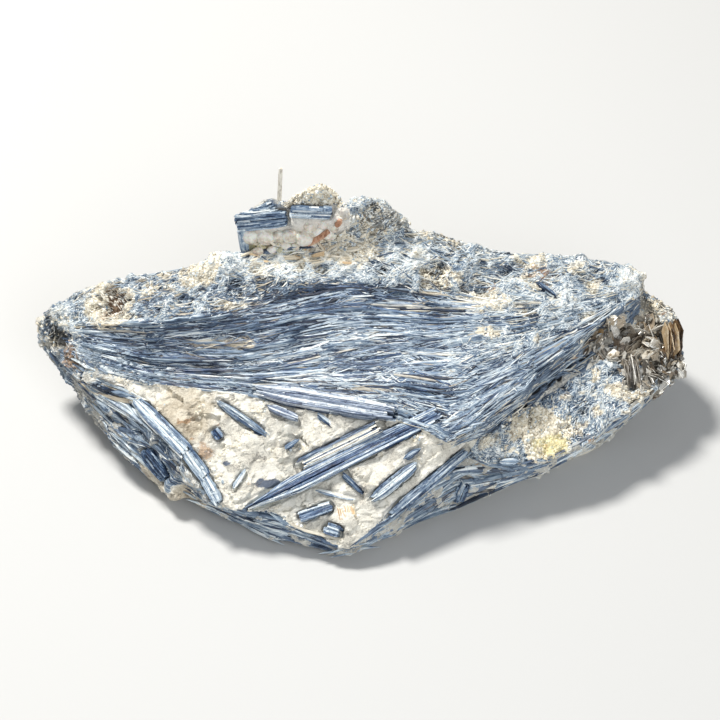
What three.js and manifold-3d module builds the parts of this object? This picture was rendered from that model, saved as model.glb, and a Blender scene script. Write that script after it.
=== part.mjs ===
// A kyanite blade cluster: a broken boulder of intergrown kyanite and quartz, with separate blades
// bedded in its quartz face, a small block on its crest and books of mica at one end.
// Millimetres, +Z up. X runs along the boulder and -Y is the side with the quartz face. The points below
// are measured from the middle of the boulder's length; at the end everything moves so that the origin
// is the middle of the bottom of the whole object's box.

import * as THREE from 'three';
import { ConvexGeometry } from 'three/addons/geometries/ConvexGeometry.js';
import { LoftGeometry } from 'three/addons/geometries/LoftGeometry.js';
import { ImprovedNoise } from 'three/addons/math/ImprovedNoise.js';
import { mergeVertices } from 'three/addons/utils/BufferGeometryUtils.js';
import Module from 'manifold-3d';

const wasm = await Module();
wasm.setup();

// Driving dimensions
const MASS_LEFT = -133; // the boulder's left tip
const MASS_RIGHT = 133; // its right end
const STATIONS = 60; // sections along the boulder
const ROUGHNESS = 2.2; // how far a break strays from its rail where it strays most
const ROUGH_WAVE = 11; // the length of one lump of that roughness
const SOCKET_GAP = 0.3; // clear space round a crystal in its bed
const BEVEL_WIDTH = 0.72; // a lath's flat top, as a share of its width
const BEVEL_HEIGHT = 0.5; // where its side facets meet, as a share of its height

// The edges that run the boulder's length, each as [x, y, z] points from the left tip to the right end.
// They go round the section in order: over the crest, down the kyanite fan, over the quartz and under.
const RAILS = [
  { name: 'crest', steps: 3, points: [
    [-132, -21, 42], [-129, -19, 48], [-122, -21, 54], [-113, -20, 60], [-97, -20, 66], [-80, -20, 70],
    [-64, -18, 73], [-49, -13, 74], [-24, -12, 76], [-6, -10, 78], [16, -5, 79], [28, -2, 76],
    [39, -2, 72], [49, -2, 66], [62, -2, 61], [83, 2, 59], [106, 3, 54], [114, 1, 51], [120, -7, 47],
    [128, -13, 43], [133, -24, 36] ] },
  { name: 'felt foot', steps: 2, points: [
    [-132, -21, 40], [-109, -32, 54], [-84, -40, 62], [-72, -39, 63], [-44, -36, 65], [-24, -28, 67],
    [-4, -24, 68], [16, -24, 64], [36, -25, 60], [57, -23, 57], [77, -21, 55], [98, -13, 52],
    [116, -5, 49], [133, -27, 34] ] },
  { name: 'trough foot', steps: 2, points: [
    [-132, -22, 38], [-109, -39, 44], [-84, -49, 45], [-64, -51, 45], [-44, -53, 46], [-24, -50, 49],
    [-4, -46, 52], [16, -45, 53], [36, -44, 53], [56, -39, 53], [77, -32, 52], [98, -21, 50],
    [116, -7, 48], [133, -28, 33] ] },
  { name: 'fan edge', steps: 1, points: [
    [-133, -21, 36], [-109, -43, 41], [-96, -50, 42], [-84, -55, 42], [-64, -59, 43], [-44, -62, 43],
    [-24, -67, 44], [-4, -73, 44], [16, -76, 43], [27, -81, 41], [34, -85, 39], [43, -81, 41],
    [53, -72, 44], [65, -62, 46], [80, -45, 47], [97, -28, 48], [111, -13, 48], [118, -7, 47],
    [133, -30, 32] ] },
  { name: 'step foot', steps: 5, points: [
    [-133, -21, 35], [-109, -44, 40], [-64, -60, 42], [-24, -68, 43], [16, -77, 41], [27, -81, 38],
    [34, -83, 34], [43, -78, 33], [54, -73, 34], [68, -60, 36], [81, -47, 37], [98, -33, 38],
    [111, -18, 40], [118, -8, 42], [133, -31, 31] ] },
  { name: 'quartz edge', steps: 2, points: [
    [-133, -21, 34], [-116, -41, 34], [-105, -51, 35], [-89, -63, 38], [-79, -75, 33], [-70, -87, 27],
    [-57, -98, 19], [-45, -102, 18], [-33, -103, 17], [-24, -106, 12], [-10, -113, 9], [-4, -114, 9],
    [10, -106, 18], [24, -95, 24], [39, -82, 31], [59, -84, 24], [73, -80, 24], [94, -70, 26],
    [105, -61, 29], [115, -53, 31], [133, -32, 29] ] },
  { name: 'lower edge', steps: 1, points: [
    [-133, -20, 32], [-130, -23, 29], [-124, -30, 26], [-117, -40, 24], [-110, -50, 20], [-97, -67, 14],
    [-85, -77, 10], [-78, -82, 8], [-70, -85, 8], [-58, -91, 6], [-36, -104, 4], [-24, -105, 4],
    [-10, -111, 4], [-4, -111, 4], [10, -104, 5], [24, -95, 6], [40, -90, 7], [56, -81, 8],
    [75, -73, 11], [85, -68, 13], [106, -56, 19], [117, -49, 23], [119, -43, 26], [129, -39, 25],
    [133, -33, 27] ] },
  { name: 'base front', steps: 3, points: [
    [-133, -19, 30], [-118, -30, 14], [-100, -52, 2], [-92, -56, 0], [-70, -76, 0], [-36, -96, 0],
    [-4, -103, 0], [24, -88, 0], [48, -76, 0], [75, -64, 0], [95, -54, 0], [108, -44, 8],
    [120, -38, 17], [133, -30, 24] ] },
  { name: 'base back', steps: 2, points: [
    [-133, -16, 32], [-118, -14, 16], [-100, -10, 2], [-92, -8, 0], [-70, 4, 0], [-36, 20, 0],
    [-4, 34, 0], [24, 38, 0], [48, 36, 0], [75, 32, 0], [95, 24, 0], [108, 10, 8], [120, -4, 18],
    [133, -18, 24] ] },
  { name: 'back belly', steps: 3, points: [
    [-133, -15, 37], [-118, -4, 34], [-97, 4, 32], [-64, 18, 30], [-36, 32, 28], [-4, 42, 27],
    [24, 44, 25], [48, 42, 20], [75, 38, 20], [95, 30, 22], [108, 18, 25], [120, 2, 27],
    [133, -16, 29] ] },
  { name: 'back shoulder', steps: 3, points: [
    [-133, -17, 41], [-118, -12, 47], [-97, -8, 52], [-64, 0, 54], [-36, 8, 56], [-4, 16, 57],
    [24, 20, 53], [48, 20, 43], [75, 20, 40], [95, 18, 39], [108, 12, 41], [120, -1, 40],
    [133, -20, 34] ] },
];

// Lumps that stand on the boulder's crest, as the corners of their hulls.
const CREST_LUMPS = {
  quartzBlock: [
    [-47, -11, 72], [-24, -12, 74], [-6, -10, 76], [-49, -8, 90], [-30, -8, 92], [-10, -9, 92],
    [-47, 6, 74], [-28, 8, 78], [-6, 8, 78], [-42, 0, 60], [-8, 4, 62], [-37, -5, 96] ],
  creamCap: [
    [-29, -7, 90], [-28, -5, 97], [-21, -4, 100], [-18, -3, 101], [-14, -3, 101], [-11, -4, 98],
    [-7, -5, 94], [-20, 6, 89], [-10, 6, 88], [-26, 2, 86], [-18, 0, 74] ],
  feltLump: [
    [-10, -10, 76], [-8, -6, 93], [-1, -3, 92], [2, -2, 93], [5, -2, 94], [8, -2, 92], [11, -3, 89],
    [16, -5, 84], [21, -4, 81], [8, -9, 77], [18, -7, 75], [-8, 8, 82], [0, 9, 82], [10, 9, 80],
    [20, 7, 72], [5, 5, 60] ],
};

// Directions that the parts of the boulder face.
const QUARTZ_FACE = [0, -0.55, 0.83];
const LEFT_SIDE = [-0.5, -0.8, 0.3];
const RIGHT_SIDE = [0.5, -0.8, 0.3];
const FELT_TOP = [0, -0.2, 1];
const CREST_FRONT = [0, -0.9, 0.4];
const BLOCK_SIDE = [-1, -0.2, 0.1];

// Separate crystals bedded in the boulder: where each starts and ends on the rock's surface, which way
// its flat face looks, its width across and its height from bottom to top, how far it stands proud of
// the rock, how much of its width is left at its start and its end, and how long each taper is.
const BLADES = [
  { name: 'long_blade', from: [-45, -101, 18], to: [32, -72, 43], facing: QUARTZ_FACE,
    width: 5.8, height: 5, proud: 2.6, startWidth: 0.2, endWidth: 0.75, taper: 12, colour: 'blade' },
  { name: 'cream_blade', from: [-25, -87, 27.5], to: [9, -77, 41], facing: QUARTZ_FACE,
    width: 4.6, height: 5, proud: 2.2, startWidth: 0.9, endWidth: 0.9, taper: 2,
    colour: 'paleBlade' },
  { name: 'lilac_blade', from: [-42, -61, 44], to: [14, -74, 44], facing: [0, -0.35, 0.94],
    width: 6.8, height: 5, proud: 2.2, startWidth: 0.4, endWidth: 0.6, taper: 10, colour: 'paleBlade' },
  { name: 'lilac_splinter', from: [-37, -68, 42], to: [-24, -73, 40], facing: [-0.1, -0.5, 0.8],
    width: 2.4, height: 3, proud: 1.6, startWidth: 0.4, endWidth: 0.5, taper: 3, colour: 'blade' },
  { name: 'diagonal_blade', from: [-57, -64, 41], to: [-36, -77, 34], facing: QUARTZ_FACE,
    width: 2.8, height: 3, proud: 1.3, startWidth: 0.6, endWidth: 0.2, taper: 5, colour: 'blade' },
  { name: 'edge_blade_upper', from: [-89, -61, 37], to: [-69, -81, 30], facing: [0, -0.35, 0.94],
    width: 5.6, height: 5, proud: 2, startWidth: 0.7, endWidth: 0.9, taper: 4, colour: 'paleBlade' },
  { name: 'edge_blade_middle', from: [-68, -82, 29], to: [-61.5, -89, 24], facing: [0, -0.45, 0.9],
    width: 5, height: 5, proud: 2, startWidth: 0.9, endWidth: 0.9, taper: 1.5, colour: 'paleBlade' },
  { name: 'edge_blade_lower', from: [-61, -90, 23.5], to: [-56, -98, 19], facing: QUARTZ_FACE,
    width: 4.2, height: 4.5, proud: 2, startWidth: 0.9, endWidth: 0.7, taper: 1.5, colour: 'paleBlade' },
  { name: 'side_crystal', from: [-87, -72, 21], to: [-77, -82, 14], facing: LEFT_SIDE,
    width: 5, height: 4.5, proud: 1.6, startWidth: 0.5, endWidth: 0.9, taper: 4, colour: 'darkBlade' },
  { name: 'small_crystal', from: [-58, -74, 35], to: [-55, -77, 33], facing: QUARTZ_FACE,
    width: 3.4, height: 3.4, proud: 1.5, startWidth: 0.8, endWidth: 0.6, taper: 1, colour: 'darkBlade' },
  { name: 'white_sliver', from: [-50, -95, 23], to: [-45, -88, 27], facing: QUARTZ_FACE,
    width: 1.4, height: 2.2, proud: 1.2, startWidth: 0.6, endWidth: 0.4, taper: 2, colour: 'paleBlade' },
  { name: 'leaning_sliver', from: [-17, -71, 41], to: [-9.5, -76, 37.5], facing: QUARTZ_FACE,
    width: 1.8, height: 2.4, proud: 1.1, startWidth: 0.5, endWidth: 0.6, taper: 2, colour: 'darkBlade' },
  { name: 'hook_sliver', from: [-30, -82, 32.5], to: [-24, -79, 35], facing: QUARTZ_FACE,
    width: 1.4, height: 2, proud: 0.9, startWidth: 0.4, endWidth: 0.4, taper: 1.5, colour: 'darkBlade' },
  { name: 'lens_crystal', from: [17, -87, 32], to: [24, -84, 35], facing: QUARTZ_FACE,
    width: 2, height: 2.4, proud: 1, startWidth: 0.3, endWidth: 0.3, taper: 3, colour: 'blade' },
  { name: 'dark_sliver', from: [-7, -91, 28], to: [1.5, -97.5, 23], facing: QUARTZ_FACE,
    width: 1.8, height: 2.4, proud: 1.1, startWidth: 0.5, endWidth: 0.6, taper: 2, colour: 'darkBlade' },
  { name: 'faint_sliver', from: [-18, -94, 21.5], to: [-1.5, -99, 21], facing: QUARTZ_FACE,
    width: 1.8, height: 2.6, proud: 0.8, startWidth: 0.2, endWidth: 0.5, taper: 4, colour: 'paleBlade' },
  { name: 'pale_blade', from: [4, -100, 22], to: [23, -88, 31], facing: QUARTZ_FACE,
    width: 4, height: 4, proud: 1.8, startWidth: 0.3, endWidth: 0.25, taper: 6, colour: 'paleBlade' },
  { name: 'grey_edge_blade', from: [11, -105, 18], to: [43, -80, 30], facing: [0.25, -0.66, 0.7],
    width: 3.4, height: 4.5, proud: 1.8, startWidth: 0.4, endWidth: 0.6, taper: 6, colour: 'blade' },
  { name: 'stub_crystal', from: [-24, -103, 15.5], to: [-11, -100, 19], facing: [0, -0.66, 0.75],
    width: 3.6, height: 4, proud: 1.4, startWidth: 0.85, endWidth: 0.85, taper: 1, colour: 'blade' },
  { name: 'tip_crystal', from: [-14, -106, 13], to: [-7, -109, 13], facing: [-0.1, -0.65, 0.76],
    width: 4.4, height: 4, proud: 1.5, startWidth: 0.7, endWidth: 0.9, taper: 1.5, colour: 'darkBlade' },
  { name: 'corner_crystal', from: [42, -87, 18], to: [39, -89, 9], facing: RIGHT_SIDE,
    width: 4, height: 4, proud: 1.4, startWidth: 0.8, endWidth: 0.8, taper: 1.5, colour: 'darkBlade' },
  { name: 'shelf_lens', from: [55, -82, 25], to: [63, -81.5, 25], facing: [0.1, -0.6, 0.8],
    width: 2.2, height: 3, proud: 1.2, startWidth: 0.3, endWidth: 0.3, taper: 3, colour: 'paleBlade' },
  { name: 'felt_sliver', from: [72, -12, 57], to: [80, -19, 55], facing: FELT_TOP,
    width: 1.6, height: 2.4, proud: 1.1, startWidth: 0.3, endWidth: 0.6, taper: 2, colour: 'darkBlade' },
  { name: 'crest_blade_left', from: [-50, -9.5, 87], to: [-29, -10, 90], facing: CREST_FRONT,
    width: 6.6, height: 6, proud: 1.6, startWidth: 0.8, endWidth: 0.8, taper: 2, colour: 'darkBlade' },
  { name: 'crest_blade_right', from: [-28, -9.5, 93], to: [-11, -9.5, 92], facing: CREST_FRONT,
    width: 4, height: 5, proud: 1.6, startWidth: 0.8, endWidth: 0.8, taper: 2, colour: 'blade' },
  { name: 'crest_blade_side', from: [-48, -8, 82.5], to: [-47, -10, 72.5], facing: BLOCK_SIDE,
    width: 5, height: 2.6, proud: 1.4, startWidth: 0.9, endWidth: 0.7, taper: 2, colour: 'blade' },
  { name: 'rusty_flake_large', from: [-21, -12.5, 77.5], to: [-12.5, -11, 84], facing: CREST_FRONT,
    width: 2.4, height: 1.6, proud: 0.9, startWidth: 0.3, endWidth: 0.8, taper: 3, colour: 'rust' },
  { name: 'rusty_flake_small', from: [-9.5, -10.2, 86], to: [-7.5, -9.8, 89], facing: CREST_FRONT,
    width: 2.4, height: 1.6, proud: 0.9, startWidth: 0.7, endWidth: 0.5, taper: 1, colour: 'rust' },
  { name: 'splinter', from: [-32.7, -3.4, 86], to: [-31.3, -3, 110], facing: [0, -1, 0],
    width: 1.7, height: 1, proud: 0.5, startWidth: 0.7, endWidth: 0.8, taper: 3, colour: 'splinter' },
  { name: 'mica_book_gold', from: [127.5, -22, 43], to: [129, -31, 33], facing: [0.3, -0.6, 0.74],
    width: 7, height: 5, proud: 2.6, startWidth: 0.9, endWidth: 0.8, taper: 2, colour: 'mica' },
  { name: 'mica_book_silver', from: [110, -38, 38], to: [111.5, -47, 30.5], facing: [0, -0.5, 0.86],
    width: 6, height: 4, proud: 2.2, startWidth: 0.9, endWidth: 0.8, taper: 2, colour: 'mica' },
];

// Plates of mica fanned out beside the golden book and grown together into one piece. The angles are
// in radians: half of the fan's opening, which way it points, how far each plate is rolled on its
// edge and how far the whole fan tips down the rock.
const MICA_FAN = {
  root: [121.5, -28.5, 37.5], plates: 4, reach: 12, shortReach: 10.2, width: 5, thickness: 1.4,
  opening: 0.5, lean: 2.1, roll: 0.9, tip: 0.6,
};

const COLOURS = {
  mass: 0xb9c3cd,
  blade: 0x5b7fae,
  paleBlade: 0xc9d3de,
  darkBlade: 0x3b506e,
  mica: 0x8a7358,
  splinter: 0xd8cdb8,
  rust: 0xa8643c,
};

const noise = new ImprovedNoise();

// A closed geometry as a manifold solid.
function solidOf(geometry) {
  const bare = new THREE.BufferGeometry();
  bare.setAttribute('position', geometry.getAttribute('position'));
  if (geometry.index) bare.setIndex(geometry.index);
  const merged = mergeVertices(bare, 1e-3);
  const kept = [];
  const index = merged.index.array;
  for (let i = 0; i < index.length; i += 3) {
    const [a, b, c] = [index[i], index[i + 1], index[i + 2]];
    if (a !== b && b !== c && c !== a) kept.push(a, b, c);
  }
  const vertProperties = merged.attributes.position.array;
  return new wasm.Manifold(new wasm.Mesh({ numProp: 3, vertProperties, triVerts: new Uint32Array(kept) }));
}

// The largest body of a manifold solid, as a geometry.
function geometryOf(solid) {
  const bodies = solid.decompose();
  const largest = bodies.reduce((best, body) => (body.volume() > best.volume() ? body : best));
  const mesh = largest.getMesh();
  const geometry = new THREE.BufferGeometry();
  geometry.setAttribute('position', new THREE.BufferAttribute(mesh.vertProperties, 3));
  geometry.setIndex(new THREE.BufferAttribute(mesh.triVerts, 1));
  geometry.computeVertexNormals();
  return geometry;
}

// The point where a rail crosses the section at x.
function railAt(points, x) {
  const last = points.length - 1;
  if (x <= points[0][0]) return new THREE.Vector3(x, points[0][1], points[0][2]);
  if (x >= points[last][0]) return new THREE.Vector3(x, points[last][1], points[last][2]);
  const i = points.findIndex((p) => p[0] > x);
  const [a, b] = [points[i - 1], points[i]];
  const share = (x - a[0]) / (b[0] - a[0]);
  return new THREE.Vector3(...a).lerp(new THREE.Vector3(...b), share);
}

// A point of a broken surface: it strays a little from where it should be, and never goes below the base.
function roughened(point) {
  if (point.z <= 0) return point;
  const at = point.clone().divideScalar(ROUGH_WAVE);
  const stray = new THREE.Vector3(
    noise.noise(at.x, at.y, at.z),
    noise.noise(at.y, at.z, at.x),
    noise.noise(at.z, at.x, at.y),
  );
  point.addScaledVector(stray, ROUGHNESS);
  point.z = Math.max(point.z, 0);
  return point;
}

// One closed section of the boulder, running from rail to rail.
function sectionAt(x) {
  const ring = [];
  RAILS.forEach((rail, i) => {
    const next = RAILS[(i + 1) % RAILS.length];
    const [from, to] = [railAt(rail.points, x), railAt(next.points, x)];
    for (let k = 0; k < rail.steps; k++) ring.push(roughened(from.clone().lerp(to, k / rail.steps)));
  });
  return ring;
}

function boulder() {
  const sections = [];
  for (let i = 0; i <= STATIONS; i++) {
    sections.push(sectionAt(THREE.MathUtils.lerp(MASS_LEFT, MASS_RIGHT, i / STATIONS)));
  }
  return solidOf(new LoftGeometry(sections, { capStart: true, capEnd: true }));
}

function crestLump(corners) {
  return solidOf(new ConvexGeometry(corners.map((p) => new THREE.Vector3(...p))));
}

// A long crystal lying along X from the origin: a bevelled lath that narrows at both ends. Grown by the
// gap it makes its own bed.
function lath(blade, length, gap) {
  const stations = [
    [-gap, blade.startWidth],
    [blade.taper, 1],
    [length - blade.taper, 1],
    [length + gap, blade.endWidth],
  ];
  const corners = [];
  for (const [x, share] of stations) {
    const halfWidth = (blade.width * share) / 2 + gap;
    const halfHeight = (blade.height * Math.sqrt(share)) / 2 + gap;
    for (const side of [-1, 1]) {
      for (const end of [-1, 1]) {
        corners.push(new THREE.Vector3(x, side * halfWidth, end * halfHeight * BEVEL_HEIGHT));
        corners.push(new THREE.Vector3(x, side * halfWidth * BEVEL_WIDTH, end * halfHeight));
      }
    }
  }
  return new ConvexGeometry(corners);
}

// A blade or its bed, set in place on the rock.
function placedLath(blade, gap) {
  const from = new THREE.Vector3(...blade.from);
  const along = new THREE.Vector3(...blade.to).sub(from);
  const length = along.length();
  along.normalize();
  const out = new THREE.Vector3(...blade.facing);
  out.addScaledVector(along, -out.dot(along)).normalize();
  const across = new THREE.Vector3().crossVectors(out, along);
  const centre = from.addScaledVector(out, blade.proud - blade.height / 2);
  const place = new THREE.Matrix4().makeBasis(along, across, out).setPosition(centre);
  return solidOf(lath(blade, length, gap).applyMatrix4(place));
}

// The fan of mica plates or its bed. Every second plate is the shorter kind.
function micaFan(gap) {
  const plates = [];
  for (let i = 0; i < MICA_FAN.plates; i++) {
    const turn = MICA_FAN.opening * ((2 * i) / (MICA_FAN.plates - 1) - 1);
    const reach = i % 2 ? MICA_FAN.shortReach : MICA_FAN.reach;
    const plate = new THREE.BoxGeometry(
      reach + 2 * gap, MICA_FAN.width + 2 * gap, MICA_FAN.thickness + 2 * gap);
    plate.translate(reach / 2, 0, 0);
    plate.rotateX(MICA_FAN.roll);
    plate.rotateZ(turn - MICA_FAN.lean);
    plate.rotateX(-MICA_FAN.tip);
    plate.translate(...MICA_FAN.root);
    plates.push(solidOf(plate));
  }
  return plates.reduce((joined, plate) => joined.add(plate));
}

let mass = boulder();
for (const corners of Object.values(CREST_LUMPS)) mass = mass.add(crestLump(corners));
for (const blade of BLADES) mass = mass.subtract(placedLath(blade, SOCKET_GAP));
mass = mass.subtract(micaFan(SOCKET_GAP));

const object = new THREE.Group();

function addPiece(name, geometry, colour, roughness) {
  const material = new THREE.MeshStandardMaterial({ color: colour, roughness, metalness: 0 });
  const mesh = new THREE.Mesh(geometry, material);
  mesh.name = name;
  object.add(mesh);
}

addPiece('kyanite_quartz_mass', geometryOf(mass), COLOURS.mass, 0.65);
for (const blade of BLADES) {
  addPiece(blade.name, geometryOf(placedLath(blade, 0)), COLOURS[blade.colour], 0.4);
}
addPiece('mica_fan', geometryOf(micaFan(0)), COLOURS.mica, 0.3);

// The origin goes to the middle of the bottom of the box round everything.
const box = new THREE.Box3().setFromObject(object);
const middle = box.getCenter(new THREE.Vector3());
for (const mesh of object.children) mesh.geometry.translate(-middle.x, -middle.y, -box.min.z);

export default object;
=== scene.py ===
import math

import bmesh
import bpy
import numpy as np
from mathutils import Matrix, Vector
from mathutils.bvhtree import BVHTree


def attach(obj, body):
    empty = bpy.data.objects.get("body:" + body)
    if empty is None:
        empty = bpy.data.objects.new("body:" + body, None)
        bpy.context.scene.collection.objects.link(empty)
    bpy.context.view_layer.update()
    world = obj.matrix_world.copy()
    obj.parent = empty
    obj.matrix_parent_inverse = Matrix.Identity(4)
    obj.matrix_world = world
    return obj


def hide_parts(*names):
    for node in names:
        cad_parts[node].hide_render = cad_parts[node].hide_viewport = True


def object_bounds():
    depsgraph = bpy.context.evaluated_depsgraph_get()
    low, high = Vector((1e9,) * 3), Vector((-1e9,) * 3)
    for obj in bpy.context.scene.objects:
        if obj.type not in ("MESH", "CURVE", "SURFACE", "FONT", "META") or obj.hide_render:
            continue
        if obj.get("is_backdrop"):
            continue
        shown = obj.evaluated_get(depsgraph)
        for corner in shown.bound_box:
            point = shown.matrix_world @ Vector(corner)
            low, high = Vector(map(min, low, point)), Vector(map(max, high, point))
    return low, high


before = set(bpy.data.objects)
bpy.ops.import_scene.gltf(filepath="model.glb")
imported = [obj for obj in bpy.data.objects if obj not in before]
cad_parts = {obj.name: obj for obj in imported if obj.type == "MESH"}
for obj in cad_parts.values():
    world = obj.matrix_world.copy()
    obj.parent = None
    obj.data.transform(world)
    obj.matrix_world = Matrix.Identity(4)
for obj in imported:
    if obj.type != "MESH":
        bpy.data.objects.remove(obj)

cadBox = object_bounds()
mm = 0.001
boxLow, boxHigh = (np.array(corner) / mm for corner in cadBox)

# the rock's long edges, millimetres, before the shift to the frame's origin
railShift = np.array([-0.25, 34.57, 0.0])
rails = [np.array(points, float) + railShift for points in (
    # crest
    [(-132, -21, 42), (-129, -19, 48), (-122, -21, 54), (-113, -20, 60), (-97, -20, 66), (-80, -20, 70),
     (-64, -18, 73), (-49, -13, 74), (-24, -12, 76), (-6, -10, 78), (16, -5, 79), (28, -2, 76),
     (39, -2, 72), (49, -2, 66), (62, -2, 61), (83, 2, 59), (106, 3, 54), (114, 1, 51), (120, -7, 47),
     (128, -13, 43), (133, -24, 36)],
    # foot of the felted rim
    [(-132, -21, 40), (-109, -32, 54), (-84, -40, 62), (-72, -39, 63), (-44, -36, 65), (-24, -28, 67),
     (-4, -24, 68), (16, -24, 64), (36, -25, 60), (57, -23, 57), (77, -21, 55), (98, -13, 52),
     (116, -5, 49), (133, -27, 34)],
    # foot of the trough
    [(-132, -22, 38), (-109, -39, 44), (-84, -49, 45), (-64, -51, 45), (-44, -53, 46), (-24, -50, 49),
     (-4, -46, 52), (16, -45, 53), (36, -44, 53), (56, -39, 53), (77, -32, 52), (98, -21, 50),
     (116, -7, 48), (133, -28, 33)],
    # lower edge of the fan
    [(-133, -21, 36), (-109, -43, 41), (-96, -50, 42), (-84, -55, 42), (-64, -59, 43), (-44, -62, 43),
     (-24, -67, 44), (-4, -73, 44), (16, -76, 43), (27, -81, 41), (34, -85, 39), (43, -81, 41),
     (53, -72, 44), (65, -62, 46), (80, -45, 47), (97, -28, 48), (111, -13, 48), (118, -7, 47),
     (133, -30, 32)],
    # foot of the dark step
    [(-133, -21, 35), (-109, -44, 40), (-64, -60, 42), (-24, -68, 43), (16, -77, 41), (27, -81, 38),
     (34, -83, 34), (43, -78, 33), (54, -73, 34), (68, -60, 36), (81, -47, 37), (98, -33, 38),
     (111, -18, 40), (118, -8, 42), (133, -31, 31)],
    # outer edge of the quartz and of the shelf
    [(-133, -21, 34), (-116, -41, 34), (-105, -51, 35), (-89, -63, 38), (-79, -75, 33), (-70, -87, 27),
     (-57, -98, 19), (-45, -102, 18), (-33, -103, 17), (-24, -106, 12), (-10, -113, 9), (-4, -114, 9),
     (10, -106, 18), (24, -95, 24), (39, -82, 31), (59, -84, 24), (73, -80, 24), (94, -70, 26),
     (105, -61, 29), (115, -53, 31), (133, -32, 29)],
    # lower edge
    [(-133, -20, 32), (-130, -23, 29), (-124, -30, 26), (-117, -40, 24), (-110, -50, 20), (-97, -67, 14),
     (-85, -77, 10), (-78, -82, 8), (-70, -85, 8), (-58, -91, 6), (-36, -104, 4), (-24, -105, 4),
     (-10, -111, 4), (-4, -111, 4), (10, -104, 5), (24, -95, 6), (40, -90, 7), (56, -81, 8),
     (75, -73, 11), (85, -68, 13), (106, -56, 19), (117, -49, 23), (119, -43, 26), (129, -39, 25),
     (133, -33, 27)],
    # front of the base
    [(-133, -19, 30), (-118, -30, 14), (-100, -52, 2), (-92, -56, 0), (-70, -76, 0), (-36, -96, 0),
     (-4, -103, 0), (24, -88, 0), (48, -76, 0), (75, -64, 0), (95, -54, 0), (108, -44, 8),
     (120, -38, 17), (133, -30, 24)],
    # back of the base
    [(-133, -16, 32), (-118, -14, 16), (-100, -10, 2), (-92, -8, 0), (-70, 4, 0), (-36, 20, 0),
     (-4, 34, 0), (24, 38, 0), (48, 36, 0), (75, 32, 0), (95, 24, 0), (108, 10, 8), (120, -4, 18),
     (133, -18, 24)],
    # belly of the back
    [(-133, -15, 37), (-118, -4, 34), (-97, 4, 32), (-64, 18, 30), (-36, 32, 28), (-4, 42, 27),
     (24, 44, 25), (48, 42, 20), (75, 38, 20), (95, 30, 22), (108, 18, 25), (120, 2, 27),
     (133, -16, 29)],
    # shoulder of the back
    [(-133, -17, 41), (-118, -12, 47), (-97, -8, 52), (-64, 0, 54), (-36, 8, 56), (-4, 16, 57),
     (24, 20, 53), (48, 20, 43), (75, 20, 40), (95, 18, 39), (108, 12, 41), (120, -1, 40),
     (133, -20, 34)])]

# Places on the rock that look different: centre x, y, z, half length along X, half width across.
spots = {
    "vug": (-99, 6, 62, 4.5, 5), "vugSurround": (-102, 5, 60, 12, 9), "knobWhite": (-121, 9, 50, 9, 7),
    "knobGrey": (-125, 7, 40, 6, 5), "pit": (30, 16, 65, 6, 7), "greyLump": (39, 18, 64, 5, 5),
    "orangeSpot": (53, 19, 60, 2.2, 2.5), "creamBand": (50, 10, 58, 10, 5),
    "rustySpeck": (74, 27, 58, 5, 4), "redPatch": (107, 7, 37, 3, 2),
    "creamOrange": (122, 24, 44, 2.4, 2.5), "quartzRust": (-62, -46, 30, 4, 3.8),
    "blueSpot": (-53, -51, 28, 2.4, 1.6), "tanFacet": (-75, -23, 41, 7, 4),
    "creamStreakA": (6, -29, 47, 10, 1.6), "creamStreakB": (-54, -10, 54, 14, 2.4),
    "creamStreakC": (50, -4, 54, 5, 3), "crust": (71, -35, 30, 14, 10), "crustYellow": (77, -39, 26, 8, 4),
    "shelfBlue": (76, -15, 40, 20, 11), "darkStreaks": (8, 3, 61, 40, 9),
    # the long band along the trough's floor is a painted highlight where the floor turns up to the light;
    # leftShade is painted shadow that the rim casts on the fan
    "litTroughHighlight": (-34, -21, 46, 50, 4), "leftShade": (-75, -11, 52, 31, 10),
    "micaHollow": (106, 6, 38, 13, 10), "micaEnd": (122, 4, 37, 14, 15), "rightTop": (124, 22, 44, 9, 9),
    "yellowVein": (-36, 22, 76, 12, 2.6), "darkWedge": (57, -48, 18, 2, 5),
    "rimCreamA": (-65, 13, 72, 8, 6), "rimCreamB": (-6, 21, 76, 14, 5), "lumpLow": (-75, -49, 12, 4.5, 5),
    "darkBehindBlade": (-36, -58, 24, 5, 2), "rimBump": (-57, 19, 75, 8, 6), "feltDark": (7, 29, 86, 11, 8),
    "leftEnd": (-124, 8, 42, 12, 12), "ledge": (107, -16, 32, 10, 4), "creamRimLeft": (-86, 8, 67, 4, 3),
    "creamMid": (21, 5, 60, 5, 3), "troughShade": (-46, -6.5, 58.5, 30, 8),
    "darkUpper": (-18, 6.5, 66.5, 26, 4.5), "quartzTan": (-69, -32, 36, 17, 12),
    "quartzLowLeft": (-83, -43, 12, 10, 8), "quartzLowMid": (-68, -53, 9.5, 12, 7),
    "feltBrightA": (-24, 17.6, 73, 24, 6), "feltBrightB": (20, 24, 73, 16, 7),
    # the brown spot at the left end is painted shade, tinted brown
    "feltBrightC": (70, 14, 56, 26, 10), "leftBrownShade": (-118, -1, 38, 6, 5), "rimShade": (-70, 11, 69, 14, 4),
    "blockCream": (2, 28, 84, 6, 5), "blockCreamLow": (-4, 24, 76, 9, 4), "ridgeBrown": (36, 33, 72, 15, 4),
    "endNotch": (119, 27, 48, 2.8, 6), "endLump": (111, 31, 52, 7, 6), "micaTop": (126, 19, 42, 4.5, 6),
}

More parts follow.
